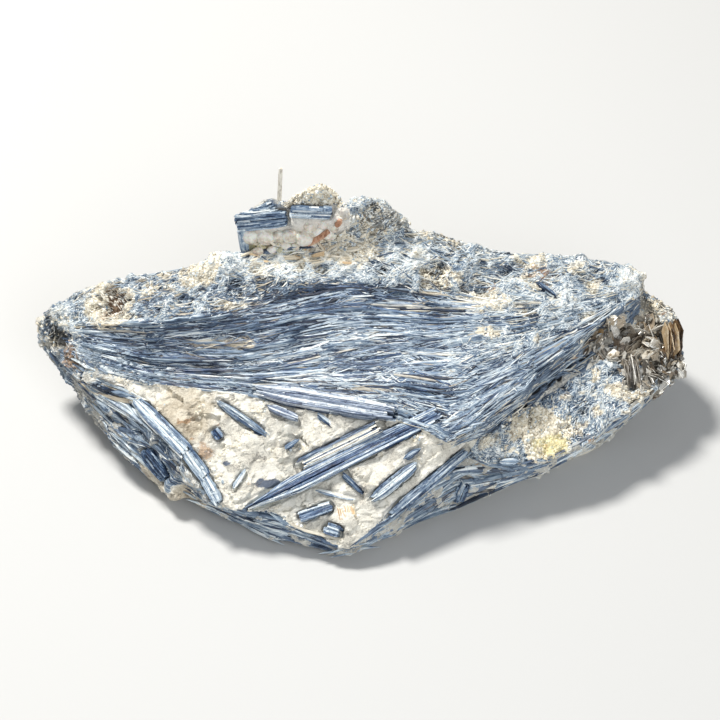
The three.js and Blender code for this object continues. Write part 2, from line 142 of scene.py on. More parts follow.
# colours from dark to light: the place of each on its ramp, then red, green and blue from 0 to 255
shades = {
    "kyanite": ((0, 20, 31, 47), (0.18, 44, 62, 87), (0.38, 92, 113, 136), (0.58, 148, 164, 177),
                (0.8, 208, 218, 222), (1, 247, 249, 245)),
    "blue": ((0, 16, 28, 48), (0.18, 37, 59, 95), (0.38, 82, 109, 145), (0.58, 140, 159, 180),
             (0.8, 202, 213, 219), (1, 244, 247, 244)),
    "cream": ((0, 62, 56, 50), (0.25, 140, 128, 112), (0.5, 198, 187, 164), (0.72, 228, 219, 197),
              (1, 250, 246, 233)),
    "quartz": ((0.14, 130, 126, 120), (0.33, 204, 199, 186), (0.5, 230, 226, 213), (0.78, 250, 247, 238)),
    "tan": ((0.18, 128, 114, 94), (0.38, 172, 159, 136), (0.56, 202, 192, 171), (0.8, 230, 221, 203)),
    "slate": ((0, 34, 44, 60), (0.4, 92, 110, 132), (0.7, 140, 156, 172), (1, 196, 208, 216)),
    "grey": ((0, 44, 42, 40), (0.4, 122, 118, 108), (0.7, 188, 184, 172), (1, 238, 236, 226)),
    "micaBed": ((0, 26, 24, 20), (0.35, 66, 61, 52), (0.6, 116, 110, 98), (1, 190, 186, 172)),
    "rust": ((0.3, 84, 58, 38), (0.5, 156, 116, 80), (0.7, 214, 186, 146)),
    "lilac": ((0, 52, 54, 76), (0.5, 154, 157, 178), (1, 238, 239, 244)),
    "greyBlade": ((0, 50, 48, 45), (0.5, 140, 137, 128), (1, 236, 233, 222)),
    "milky": ((0.3, 184, 168, 150), (0.46, 230, 220, 203), (0.62, 254, 250, 241)),
    "stain": ((0, 90, 62, 38), (0.5, 178, 132, 84), (1, 232, 202, 152)),
    "silver": ((0, 34, 31, 28), (0.4, 112, 108, 100), (0.75, 196, 193, 184), (1, 246, 244, 238)),
    "gold": ((0, 44, 32, 20), (0.35, 112, 84, 52), (0.65, 186, 158, 116), (1, 244, 234, 210)),
    "rustyFlake": ((0.3, 128, 84, 58), (0.5, 182, 134, 104), (0.7, 220, 190, 164)),
    "splinter": ((0.3, 176, 166, 148), (0.55, 240, 234, 220)),
}


# number helpers
def smooth(low, high, value):
    share = np.clip((value - low) / (high - low), 0, 1)
    return share * share * (3 - 2 * share)


def latticeNumber(cell, seed):
    # one steady random number from 0 to 1 for each lattice cell
    mixed = (cell[:, 0] * 73856093) ^ (cell[:, 1] * 19349663) ^ (cell[:, 2] * 83492791) ^ (seed * 2654435761)
    mixed = (mixed ^ (mixed >> 13)) * 1274126177
    mixed = mixed & 0x7FFFFFFF
    mixed = ((mixed ^ (mixed >> 15)) * 2246822519) & 0x7FFFFFFF
    return (mixed & 0xFFFFFF) / 0xFFFFFF


def cloud(points, size, seed=0, octaves=3):
    # smooth noise from -1 to 1, with lumps of the given size in millimetres
    total, weight = np.zeros(len(points)), 0
    for octave in range(octaves):
        at = points / size * 2 ** octave + 17.3 * octave
        cell = np.floor(at).astype(np.int64)
        part = at - cell
        part = part * part * (3 - 2 * part)
        value = np.zeros(len(points))
        for corner in range(8):
            step = np.array([corner & 1, corner >> 1 & 1, corner >> 2 & 1])
            share = np.prod(np.where(step, part, 1 - part), axis=1)
            value += share * latticeNumber(cell + step, seed + octave)
        total += (value * 2 - 1) / 1.8 ** octave
        weight += 1 / 1.8 ** octave
    return total / weight * 1.6


def cells(points, size, seed=0):
    # distance to the nearest of scattered seeds, in cells, and a slope that makes each cell a facet
    at = points / size
    home = np.floor(at).astype(np.int64)
    nearest = np.full(len(points), 9.0)
    tilt = np.zeros(len(points))
    for dx in (-1, 0, 1):
        for dy in (-1, 0, 1):
            for dz in (-1, 0, 1):
                cell = home + np.array([dx, dy, dz])
                jitter = np.stack([latticeNumber(cell, seed + k) for k in (1, 2, 3)], 1)
                lean = np.stack([latticeNumber(cell, seed + k) for k in (4, 5, 6)], 1) * 2 - 1
                away = at - (cell + jitter)
                far = np.linalg.norm(away, axis=1)
                closer = far < nearest
                nearest = np.where(closer, far, nearest)
                tilt = np.where(closer, (away * lean).sum(1), tilt)
    return nearest, tilt


# where a point is on the rock
def ringAt(x):
    return np.stack([np.stack([np.interp(x, rail[:, 0], rail[:, 1]), np.interp(x, rail[:, 0], rail[:, 2])], 1)
                     for rail in rails], 1)


grid = np.arange(-133.0, 134.0)
near = np.exp(-((grid[:, None] - grid[None]) / np.minimum(16, 0.5 + (133 - np.abs(grid)) / 4)[:, None]) ** 2)
softRing = np.einsum("ab,bkc->akc", near / near.sum(1, keepdims=True), ringAt(grid))
softRing[:, 3:] = ringAt(grid)[:, 3:]


def softRingAt(x):
    # the long edges without their small bends, for the way the blades grew
    place = np.clip(x - grid[0], 0, len(grid) - 1.001)
    step, share = place.astype(int), (place - place.astype(int))[:, None, None]
    return softRing[step] * (1 - share) + softRing[step + 1] * share


def girthOf(points, soft=False):
    # which two long edges a point lies between, as one number that goes round the rock: 0 crest, 1 and 2 feet
    # of the rim and of the trough, 3 lower edge of the fan, 4 foot of the dark step, 5 edge of the quartz,
    # 6 lower edge, 7 and 8 front and back of the base, 9 belly of the back, 10 its shoulder
    ring = softRingAt(points[:, 0]) if soft else ringAt(points[:, 0])
    best = np.full(len(points), 1e9)
    girth = np.zeros(len(points))
    for k in range(len(rails)):
        start, end = ring[:, k], ring[:, (k + 1) % len(rails)]
        side = end - start
        reach = np.maximum((side * side).sum(1), 1e-6)
        share = np.clip(((points[:, 1:] - start) * side).sum(1) / reach, 0, 1)
        far = np.linalg.norm(start + side * share[:, None] - points[:, 1:], axis=1)
        closer = far < best
        best = np.where(closer, far, best)
        girth = np.where(closer, k + share, girth)
    return girth, best


def loftPoint(x, girth):
    ring = softRingAt(x)
    low = np.floor(girth).astype(int) % len(rails)
    share = (girth - np.floor(girth))[:, None]
    rows = np.arange(len(x))
    flat = ring[rows, low] * (1 - share) + ring[rows, (low + 1) % len(rails)] * share
    return np.column_stack([x, flat])


def spotAt(points, name, soft=0.35, ragged=0.5):
    x, y, z, halfLength, halfWidth = spots[name]
    along = (points[:, 0] - x) / halfLength
    across = np.hypot(points[:, 1] - y, points[:, 2] - z) / halfWidth
    far = np.hypot(along, across) + ragged * cloud(points, 4, 5, 3)
    return 1 - smooth(1 - soft, 1 + soft, far)


def strongestAt(points, shares, soft=0.35):
    # the strongest of several spots at each point, each with a share of its own
    return np.max([spotAt(points, name, soft) * share for name, share in shares.items()], axis=0)


def crackAt(girth, x):
    # the crack along the foot of the dark step
    wander = 0.07 * np.sin(x * 0.45) + 0.04 * np.sin(x * 1.3)
    return np.exp(-((girth - 3.9 + wander) / 0.065) ** 2) * smooth(46, 54, x) * (1 - smooth(92, 100, x))


def zonesAt(points):
    # how much of each kind of surface there is at each point, from 0 to 1
    girth, gap = girthOf(points)
    x, y, z = points.T
    wander = 0.09 * cloud(points, 9, 21) + 0.04 * cloud(points, 3, 22)
    g = girth + wander
    zone = {"girth": girth, "gap": gap}

    def extend(name, values):
        zone[name] = np.maximum(zone[name], values)

    onBlock = smooth(3, 4.5, gap) * (z > 72) * (np.abs(x + 14) < 42)
    zone["fan"] = smooth(0.92, 1.04, g) * (1 - smooth(3.0, 3.06, g)) * (1 - onBlock)
    zone["fan"] *= smooth(-118, -110, x + 3 * wander / 0.09)
    # at its right end the fan fades into pale felt, except along its lower edge
    faded = smooth(30, 66, x) * (1 - smooth(2.1, 2.75, g)) * 0.9 + smooth(100, 112, x)
    zone["fan"] *= 1 - np.clip(faded, 0, 1)
    ragged = 5 * cloud(points, 6, 23)
    # the quartz lies between the broken blade on its left and the grey blade on its right
    rightOfLeftBlade = smooth(-3, 2, (x + 89) + (y + 26) * 0.889 + ragged * 0.4)
    leftOfGreyBlade = 1 - smooth(-1, 2, (x - 11) - (y + 70) * 1.28 + ragged * 0.2)
    face = smooth(3.0, 3.3, g) * (1 - smooth(4.98, 5.1, g))
    low = np.maximum(spotAt(points, "quartzLowLeft", 0.3, 0.35), spotAt(points, "quartzLowMid", 0.3, 0.35))
    zone["quartz"] = np.maximum(face * rightOfLeftBlade * leftOfGreyBlade, low)
    zone["tan"] = np.maximum.reduce([spotAt(points, "quartzTan", 0.5),
                                     spotAt(points, "tanFacet", 0.2, 0.2) * 0.55, low * 0.8])
    # slate: the diagonal step below the fan, coloured darker, partly as painted shade
    zone["slate"] = smooth(3.0, 3.06, g) * (1 - smooth(3.95, 4.1, g))
    zone["slate"] *= smooth(32, 44, x) * (1 - smooth(112, 120, x))
    zone["shelf"] = smooth(3.9, 4.1, g) * (1 - smooth(5.0, 5.4, g))
    zone["shelf"] *= (1 - leftOfGreyBlade) * smooth(25, 50, x + ragged)
    zone["side"] = np.maximum(smooth(5.0, 5.15, g) * (1 - smooth(7.6, 8.2, g)), face * (1 - rightOfLeftBlade))
    lowerRight = smooth(4, 4.2, g) * (1 - leftOfGreyBlade) * (1 - zone["shelf"]) * (g < 8)
    extend("side", lowerRight)
    zone["side"] *= 1 - low
    zone["pale"] = zone["side"] * smooth(-20, 20, x) * (g < 8)
    zone["blockQuartz"] = onBlock * (1 - smooth(-7, -2, x)) * (1 - smooth(90, 94, z + ragged * 0.3))
    zone["blockFelt"] = onBlock * smooth(-7, -2, x)
    behind = zone["blockQuartz"] * smooth(30, 35, y)
    zone["blockQuartz"] = zone["blockQuartz"] - behind
    extend("quartz", behind)
    zone["blockWall"] = behind
    top = onBlock * smooth(90, 94, z + ragged * 0.3) * (1 - smooth(-7, -2, x))
    zone["cap"] = top * smooth(-33, -29, x)
    extend("side", top * (1 - smooth(-33, -29, x)))
    back = smooth(7.7, 8.3, g) * (1 - smooth(10.5, 10.9, g)) * (1 - onBlock)
    veins = smooth(0.0, 0.25, cloud(points * np.array([0.45, 1, 1]), 14, 35, 3))
    extend("quartz", back * veins)
    weathered = (zone["blockWall"] + back) * smooth(-0.1, 0.5, cloud(points, 9, 36, 2)) * 0.6
    extend("tan", weathered)
    extend("side", back * (1 - veins))
    mica = np.maximum(spotAt(points, "micaHollow"), spotAt(points, "micaEnd"))
    zone["mica"] = mica * (girth > 3.2) * (girth < 9.5)
    crust = spotAt(points, "crust")
    zone["crust"] = crust * (girth > 4) * (girth < 6)
    cream = strongestAt(points, dict.fromkeys((
        "vugSurround", "pit", "creamBand", "creamStreakA", "creamStreakB", "creamStreakC", "rimCreamA",
        "rimCreamB", "creamRimLeft", "creamMid", "creamOrange", "ledge", "blockCream", "blockCreamLow"), 0.9))
    loose = smooth(0.05, 0.55, cloud(points, 8, 31, 4))
    cream = np.maximum(cream, loose * (1 - zone["fan"] * 0.6) * (1 - 0.5 * zone["side"]) * 0.75)
    zone["cream"] = np.maximum(cream, zone["cap"] * 0.9)
    # the spot at the left end stands for brown-tinted shade there, painted in the rust colours
    rustSpots = ("vug", "orangeSpot", "rustySpeck", "redPatch", "quartzRust", "leftBrownShade")
    rust = np.max([spotAt(points, name, 0.6, 0.9) * 0.7 for name in rustSpots], axis=0)
    rust = np.maximum(rust, spotAt(points, "vug", 0.3, 0.3))
    speck = smooth(0.62, 0.8, cloud(points, 3.2, 33, 3)) * smooth(0.1, 0.5, cloud(points, 20, 34, 2))
    zone["rust"] = np.maximum(rust, speck * 0.8 * (1 - zone["fan"]))
    zone["grey"] = np.maximum(zone["blockFelt"] * 0.45, strongestAt(points, {
        "rightTop": 1, "knobGrey": 1, "feltDark": 1, "ridgeBrown": 1, "leftEnd": 0.45}))
    zone["yellow"] = np.maximum(spotAt(points, "crustYellow"), spotAt(points, "yellowVein"))
    # dark: the kyanite's own dark streaks and patches, together with painted shade below the rim and in the
    # trough (leftShade, troughShade)
    zone["dark"] = strongestAt(points, {
        "darkStreaks": 0.55, "greyLump": 0.7, "vug": 0.5, "darkBehindBlade": 0.8, "darkWedge": 0.9,
        "leftShade": 0.5, "blueSpot": 0.9, "shelfBlue": 0.45, "troughShade": 0.5, "darkUpper": 0.85,
        "rimShade": 0.3})
    # white: the felt's own paler patches, and a painted highlight on the lit floor of the trough
    zone["white"] = np.maximum(zone["blockFelt"] * 0.55, strongestAt(points, {
        "litTroughHighlight": 0.2, "knobWhite": 1, "feltBrightA": 1.6, "feltBrightB": 1.5, "feltBrightC": 0.45}, 0.6))
    return zone


# node trees from expressions
def tint(red, green, blue):
    # a colour given as 0 to 255 on a screen, as the numbers that a shader takes
    screen = (red, green, blue)
    return tuple(((c / 255 + 0.055) / 1.055) ** 2.4 if c > 10 else c / 3294 for c in screen) + (1.0,)


class Wire:
    def __init__(self, recipe, socket):
        self.recipe, self.socket = recipe, socket

    def join(self, operation, other, swapped=False, clamp=False):
        first, second = (other, self) if swapped else (self, other)
        made = self.recipe.node("ShaderNodeMath", {"operation": operation, "use_clamp": clamp},
                                {0: first, 1: second})
        return made["Value"]

    def __add__(self, other): return self.join("ADD", other)
    def __radd__(self, other): return self.join("ADD", other)
    def __sub__(self, other): return self.join("SUBTRACT", other)
    def __rsub__(self, other): return self.join("SUBTRACT", other, swapped=True)
    def __mul__(self, other): return self.join("MULTIPLY", other)
    def __rmul__(self, other): return self.join("MULTIPLY", other)

    def atLeast(self, other): return self.join("MAXIMUM", other)
    def clamped(self): return self.join("ADD", 0.0, clamp=True)

    def step(self, low, high):
        # 0 below low, 1 above high, smooth between
        made = self.recipe.node("ShaderNodeMapRange", {"interpolation_type": "SMOOTHSTEP"},
                                {"Value": self, "From Min": low, "From Max": high})
        return made["Result"]


class Recipe:
    def __init__(self, name):
        self.material = bpy.data.materials.new(name)
        self.material.use_nodes = True
        self.tree = self.material.node_tree
        self.shader = self.tree.nodes["Principled BSDF"]

    def plug(self, socket, value):
        if isinstance(value, Wire):
            self.tree.links.new(value.socket, socket)
        else:
            socket.default_value = value

    def node(self, kind, settings=None, sockets=None):
        made = self.tree.nodes.new(kind)
        for key, value in (settings or {}).items():
            if key == "stops":
                elements = made.color_ramp.elements
                while len(elements) < len(value):
                    elements.new(0.5)
                for element, (place, *colour) in zip(elements, value):
                    element.position, element.color = place, tint(*colour)
            else:
                setattr(made, key, value)
        for key, value in (sockets or {}).items():
            self.plug(made.inputs[key], value)
        return {socket.name: Wire(self, socket) for socket in made.outputs if socket.enabled}

    def attribute(self, name, output="Fac"):
        return self.node("ShaderNodeAttribute", {"attribute_name": name})[output]

    def place(self):
        return self.node("ShaderNodeTexCoord")["Object"]

    def vectors(self, operation, first, second, output="Vector"):
        return self.node("ShaderNodeVectorMath", {"operation": operation}, {0: first, 1: second})[output]

    def stretch(self, vector, x, y, z):
        return self.vectors("MULTIPLY", vector, (x, y, z))

    def wobble(self, vector, much, scale, detail=2.0):
        # the same vector, pushed about a little by coloured noise
        noise = self.node("ShaderNodeTexNoise", None, {"Vector": vector, "Scale": scale, "Detail": detail})
        return self.mix(much, vector, noise["Color"], "ADD")

    def grain(self, vector, size, detail=3.0, rough=0.55, distortion=0.0):
        # noise with lumps of a size in millimetres, for a vector in metres
        return self.node("ShaderNodeTexNoise", None, {
            "Vector": vector, "Scale": 1 / (size * mm), "Detail": detail, "Roughness": rough,
            "Distortion": distortion})["Fac"]

    def crystals(self, vector, size, feature="F1"):
        return self.node("ShaderNodeTexVoronoi", {"feature": feature},
                         {"Vector": vector, "Scale": 1 / (size * mm)})

    def redOf(self, colour):
        return self.node("ShaderNodeSeparateColor", None, {"Color": colour})["Red"]

    def ramp(self, value, name):
        return self.node("ShaderNodeValToRGB", {"stops": shades[name]}, {"Fac": value})["Color"]

    def mix(self, share, under, over, blend="MIX"):
        made = self.tree.nodes.new("ShaderNodeMix")
        made.data_type, made.blend_type = "RGBA", blend
        for key, value in ((0, share), (6, under), (7, over)):
            self.plug(made.inputs[key], value)
        return Wire(self, made.outputs[2])

    def feed(self, name, value):
        self.plug(self.shader.inputs[name], value)

    def finish(self, colour, rough, height, distance):
        # height: the fine relief, from 0 to about 1; distance: how tall that is, in millimetres
        self.feed("Base Color", colour)
        self.feed("Roughness", rough.clamped())
        made = self.node("ShaderNodeBump", None, {"Height": height, "Distance": distance * mm})
        self.feed("Normal", made["Normal"])
        return self.material




# meshes
def unit(vectors):
    return vectors / np.maximum(np.linalg.norm(vectors, axis=-1, keepdims=True), 1e-9)


def writeNumbers(piece, name, values):
    made = piece.data.attributes.new(name, "FLOAT", "POINT")
    made.data.foreach_set("value", np.asarray(values, dtype=np.float32))


def writeVectors(piece, name, values):
    made = piece.data.attributes.new(name, "FLOAT_VECTOR", "POINT")
    made.data.foreach_set("vector", np.asarray(values, dtype=np.float32).ravel())


def addObject(name, data):
    made = bpy.data.objects.new(name, data)
    bpy.context.scene.collection.objects.link(made)
    return made


def meshOf(name, points, faces, material):
    piece = addObject(name, bpy.data.meshes.new(name))
    points = np.clip(points, boxLow + 0.02, boxHigh - 0.02)  # nothing leaves the box or reaches under it
    piece.data.from_pydata((points * mm).tolist(), [], faces)
    piece.data.materials.append(material)
    return piece


def alike(faces, count, per):
    # one part's faces, again for each of a number of parts with so many points each
    return (np.arange(count)[:, None, None] * per + np.array(faces)[None]).reshape(-1, len(faces[0])).tolist()


def writeExtra(piece, extra, per):
    # one number for each part, written at each of its points
    for key, values in extra.items():
        writeNumbers(piece, key, np.repeat(values, per))


def pointsOf(mesh):
    points = np.empty(len(mesh.vertices) * 3)
    mesh.vertices.foreach_get("co", points)
    return points.reshape(-1, 3) / mm


def bladeMesh(name, lines, facings, widths, heights, rolls, tips, material, extra, ways=None):
    # lines: blades x stations x 3; widths and heights: one for each station; tips: length of the pointed ends
    count, stations = lines.shape[:2]
    lines = np.clip(lines, boxLow + 1, boxHigh - 1)
    along = unit(np.gradient(lines, axis=1)) if ways is None else ways[:, None]
    across = unit(np.cross(facings, along))
    out = unit(np.cross(along, across))
    cosine, sine = np.cos(rolls)[:, None, None], np.sin(rolls)[:, None, None]
    across, out = across * cosine + out * sine, out * cosine - across * sine
    half, high = widths[..., None] / 2, heights[..., None]
    # its cross-section: shares of half the width, and of the height
    section = ((1, -1), (0.86, 0.42), (-0.72, 0.5), (-1, -1))
    grid = np.stack([lines + across * half * a + out * high * b for a, b in section], axis=2)
    first = lines[:, 0] - along[:, 0] * tips[:, :1] - out[:, 0] * high[:, 0] * 0.4
    last = lines[:, -1] + along[:, -1] * tips[:, 1:] - out[:, -1] * high[:, -1] * 0.4
    body = grid.reshape(count, -1, 3)
    vertices = np.concatenate([body, first[:, None], last[:, None]], axis=1)
    per = stations * 4 + 2
    quads, triangles = [], []
    for k in range(4):
        n = (k + 1) % 4
        triangles += [(per - 2, n, k), (per - 1, (stations - 1) * 4 + k, (stations - 1) * 4 + n)]
        for row in range(stations - 1):
            quads.append((row * 4 + k, row * 4 + n, row * 4 + 4 + n, row * 4 + 4 + k))
    faces = alike(triangles, count, per)
    if quads:
        faces += alike(quads, count, per)
    piece = meshOf(name, vertices.reshape(-1, 3), faces, material)
    writeExtra(piece, extra, per)
    steps = np.linalg.norm(np.diff(lines, axis=1), axis=2)
    travel = np.concatenate([np.zeros((count, 1)), steps.cumsum(1)], 1)
    girthwise = np.stack([0 * widths, heights, heights + widths, heights * 2 + widths], 2).reshape(count, -1)
    lengthwise = np.repeat(travel, 4, axis=1)
    ends = np.stack([travel[:, 0] - tips[:, 0], travel[:, -1] + tips[:, 1]], 1)
    lengthwise = np.concatenate([lengthwise, ends], 1)
    girthwise = np.concatenate([girthwise, np.stack([heights[:, 0] + widths[:, 0] / 2] * 2, 1)], 1)
    order = np.repeat(np.arange(count) * 7.31, per)
    writeVectors(piece, "grain", np.column_stack([lengthwise.ravel(), girthwise.ravel(), order]) * mm)
    return piece


# where the separate crystals lie
planes = {"quartzFace": (0, -0.55, 0.83), "fanEdge": (0, -0.38, 0.92), "leftSide": (-0.5, -0.8, 0.3),
          "rightSide": (0.5, -0.8, 0.3), "feltTop": (0, -0.2, 1), "crestFront": (0, -0.9, 0.4),
          "blockSide": (-1, -0.2, 0.1), "greyFace": (0.25, -0.66, 0.7), "lowFace": (0, -0.65, 0.76),
          "micaGold": (0.3, -0.6, 0.74), "micaSilver": (0, -0.5, 0.86)}
# faces: which way the crystal faces; tones: how light each cleavage strip is, side by side; taper: how much
# narrower at the left and right ends; breaks: how many times a strip is broken across; ragged: how uneven the
# ends are; longer: how far past its bed it reaches; blue: how strong its blue is; the rest is as usual
crystalLook = {
    "long_blade": {"tones": [0.7, 0.56, 0.42, 0.26, 0.16, 0.2, 0.5, 0.72, 0.6], "taper": (0.85, 0.1),
                   "ragged": 0.05, "blue": 1},
    "cream_blade": {"tones": [0.62, 0.84, 0.76, 0.2, 0.86, 0.8, 0.3, 0.2, 0.3], "taper": (0.15, 0.05),
                    "ragged": 0.12},
    "lilac_blade": {"faces": "fanEdge", "tones": [0.3, 0.6, 0.84, 0.54, 0.44, 0.54, 0.46, 0.86, 0.6],
                    "taper": (0.5, 0.25), "ragged": 0.08},
    "lilac_splinter": {"faces": "fanEdge", "tones": [0.42, 0.7, 0.5, 0.4], "taper": (0.6, 0.3),
                       "breaks": 1},
    "diagonal_blade": {"tones": [0.3, 0.6, 0.42, 0.66, 0.36], "taper": (0.6, 0.5)},
    "edge_blade_upper": {"faces": "fanEdge", "tones": [0.4, 0.66, 0.86, 0.66, 0.8, 0.6, 0.36],
                         "taper": (0.4, 0.0), "breaks": 5, "ragged": 0.06, "longer": 1.1},
    "edge_blade_middle": {"faces": "fanEdge", "tones": [0.46, 0.72, 0.56, 0.84, 0.64, 0.42],
                          "taper": (0.05, 0.1), "breaks": 4, "ragged": 0.12, "longer": 1.3},
    "edge_blade_lower": {"tones": [0.5, 0.74, 0.56, 0.8, 0.4], "taper": (0.1, 0.3), "ragged": 0.12,
                         "longer": 1.25},
    "side_crystal": {"faces": "leftSide", "tones": [0.3, 0.08, 0.42, 0.14, 0.06, 0.34, 0.12],
                     "taper": (0.2, 0.3), "breaks": 5, "ragged": 0.2},
    "small_crystal": {"tones": [0.46, 0.2, 0.12, 0.5], "taper": (0.1, 0.4), "breaks": 2, "blue": 0.8},
    "white_sliver": {"tones": [0.9, 0.6], "taper": (0.8, 0.6), "breaks": 0},
    "leaning_sliver": {"tones": [0.2, 0.7], "taper": (0.4, 0.6), "breaks": 1},
    "hook_sliver": {"tones": [0.4, 0.2], "taper": (0.4, 0.6), "breaks": 0},
    "lens_crystal": {"tones": [0.34, 0.66, 0.4], "taper": (0.8, 0.8), "breaks": 0, "ragged": 0.02},
    "dark_sliver": {"tones": [0.2, 0.5, 0.14], "taper": (0.3, 0.5), "breaks": 1},
    "faint_sliver": {"tones": [0.6, 0.8], "taper": (0.6, 0.6), "breaks": 0},
    "pale_blade": {"tones": [0.36, 0.7, 0.84, 0.6, 0.76, 0.4], "taper": (0.5, 0.5)},
    "grey_edge_blade": {"faces": "greyFace", "tones": [0.3, 0.5, 0.64, 0.4, 0.6, 0.34], "taper": (0.4, 0.2),
                        "breaks": 4, "ragged": 0.08},
    "stub_crystal": {"faces": "lowFace", "tones": [0.4, 0.36, 0.4, 0.72], "taper": (0.05, 0.1), "breaks": 1,
                     "ragged": 0.05, "blue": 0.7},
    "tip_crystal": {"faces": "lowFace", "tones": [0.3, 0.5, 0.75, 0.4], "taper": (0.2, 0.3), "breaks": 2,
                    "ragged": 0.2},
    "corner_crystal": {"faces": "rightSide", "tones": [0.16, 0.4, 0.1, 0.5], "taper": (0.2, 0.3),
                       "breaks": 2, "ragged": 0.2},
    "shelf_lens": {"faces": "lowFace", "tones": [0.7, 0.4, 0.6], "taper": (0.8, 0.8), "breaks": 0,
                   "ragged": 0.05},
    "felt_sliver": {"faces": "feltTop", "tones": [0.16, 0.4], "taper": (0.5, 0.7), "breaks": 0},
    "crest_blade_left": {"faces": "crestFront",
                         "tones": [0.66, 0.36, 0.26, 0.5, 0.2, 0.56, 0.3, 0.42, 0.66], "taper": (0.05, 0.2),
                         "ragged": 0.05},
    "crest_blade_right": {"faces": "crestFront", "tones": [0.66, 0.46, 0.76, 0.36, 0.66, 0.5],
                          "taper": (0.1, 0.1), "ragged": 0.06},
    "crest_blade_side": {"faces": "blockSide", "tones": [0.62, 0.4, 0.72, 0.5], "taper": (0.1, 0.1),
                         "breaks": 1, "ragged": 0.05},
}
crystalUsual = {"faces": "quartzFace", "breaks": 3, "ragged": 0.1, "longer": 1, "blue": 0.3}
crystalLook = {name: {**crystalUsual, **look} for name, look in crystalLook.items()}


def crystalPlace(name, plane):
    # the middle, the directions along, across and out, and the sizes of a crystal's CAD solid
    points = np.unique(np.round(pointsOf(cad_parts[name].data), 3), axis=0)
    centred = points - points.mean(0)
    along = np.linalg.svd(centred, full_matrices=False)[2][0]
    along = along if along[0] > 0 else -along
    out = np.array(planes[plane], float)
    out = unit(out - along * out.dot(along))
    axes = (along, np.cross(out, along), out)
    middle = points.mean(0) + sum(a * ((centred @ a).max() + (centred @ a).min()) / 2 for a in axes)
    return (middle, *axes, [np.ptp(centred @ a) for a in axes])


crystalPlaces = {name: crystalPlace(name, look["faces"]) for name, look in crystalLook.items()}


def aroundCrystals(points):
    # covered: 1 where a crystal lies over the rock; rim: 1 in the narrow gap around it
    covered, rim = np.zeros(len(points)), np.zeros(len(points))
    for middle, along, across, out, (length, width, height) in crystalPlaces.values():
        local = points - middle
        far = np.maximum(np.abs(local @ along) - length / 2, np.abs(local @ across) - width / 2)
        near = np.abs(local @ out) < height / 2 + 4
        covered = np.maximum(covered, near * (1 - smooth(0.0, 1.0, far)))
        rim = np.maximum(rim, near * np.exp(-((far - 0.5) / 0.8) ** 2))
    return covered, rim


# the rock
# voxel: how fine the rock's surface is, in millimetres; rises: how far each spot stands out or is sunk, and,
# where they aren't the usual ones, how soft and how ragged its border is
rockLook = {"voxel": 1.09,
            "rises": {"rimBump": (3.4, 0.8, 0.15), "endLump": (3, 0.8, 0.15), "micaTop": (2, 0.8, 0.15),
                      "endNotch": (-3.4, 0.7, 0.1), "vug": (-5,), "pit": (-2.6,), "greyLump": (1.6,),
                      "knobGrey": (-3,), "lumpLow": (2.6, 0.8, 0.1), "micaHollow": (-2, 0.7),
                      "knobWhite": (1,)}}
rockZones = ("fan", "quartz", "slate", "side", "crust", "mica", "cream", "rust", "yellow", "dark", "white",
             "blockQuartz", "relief")


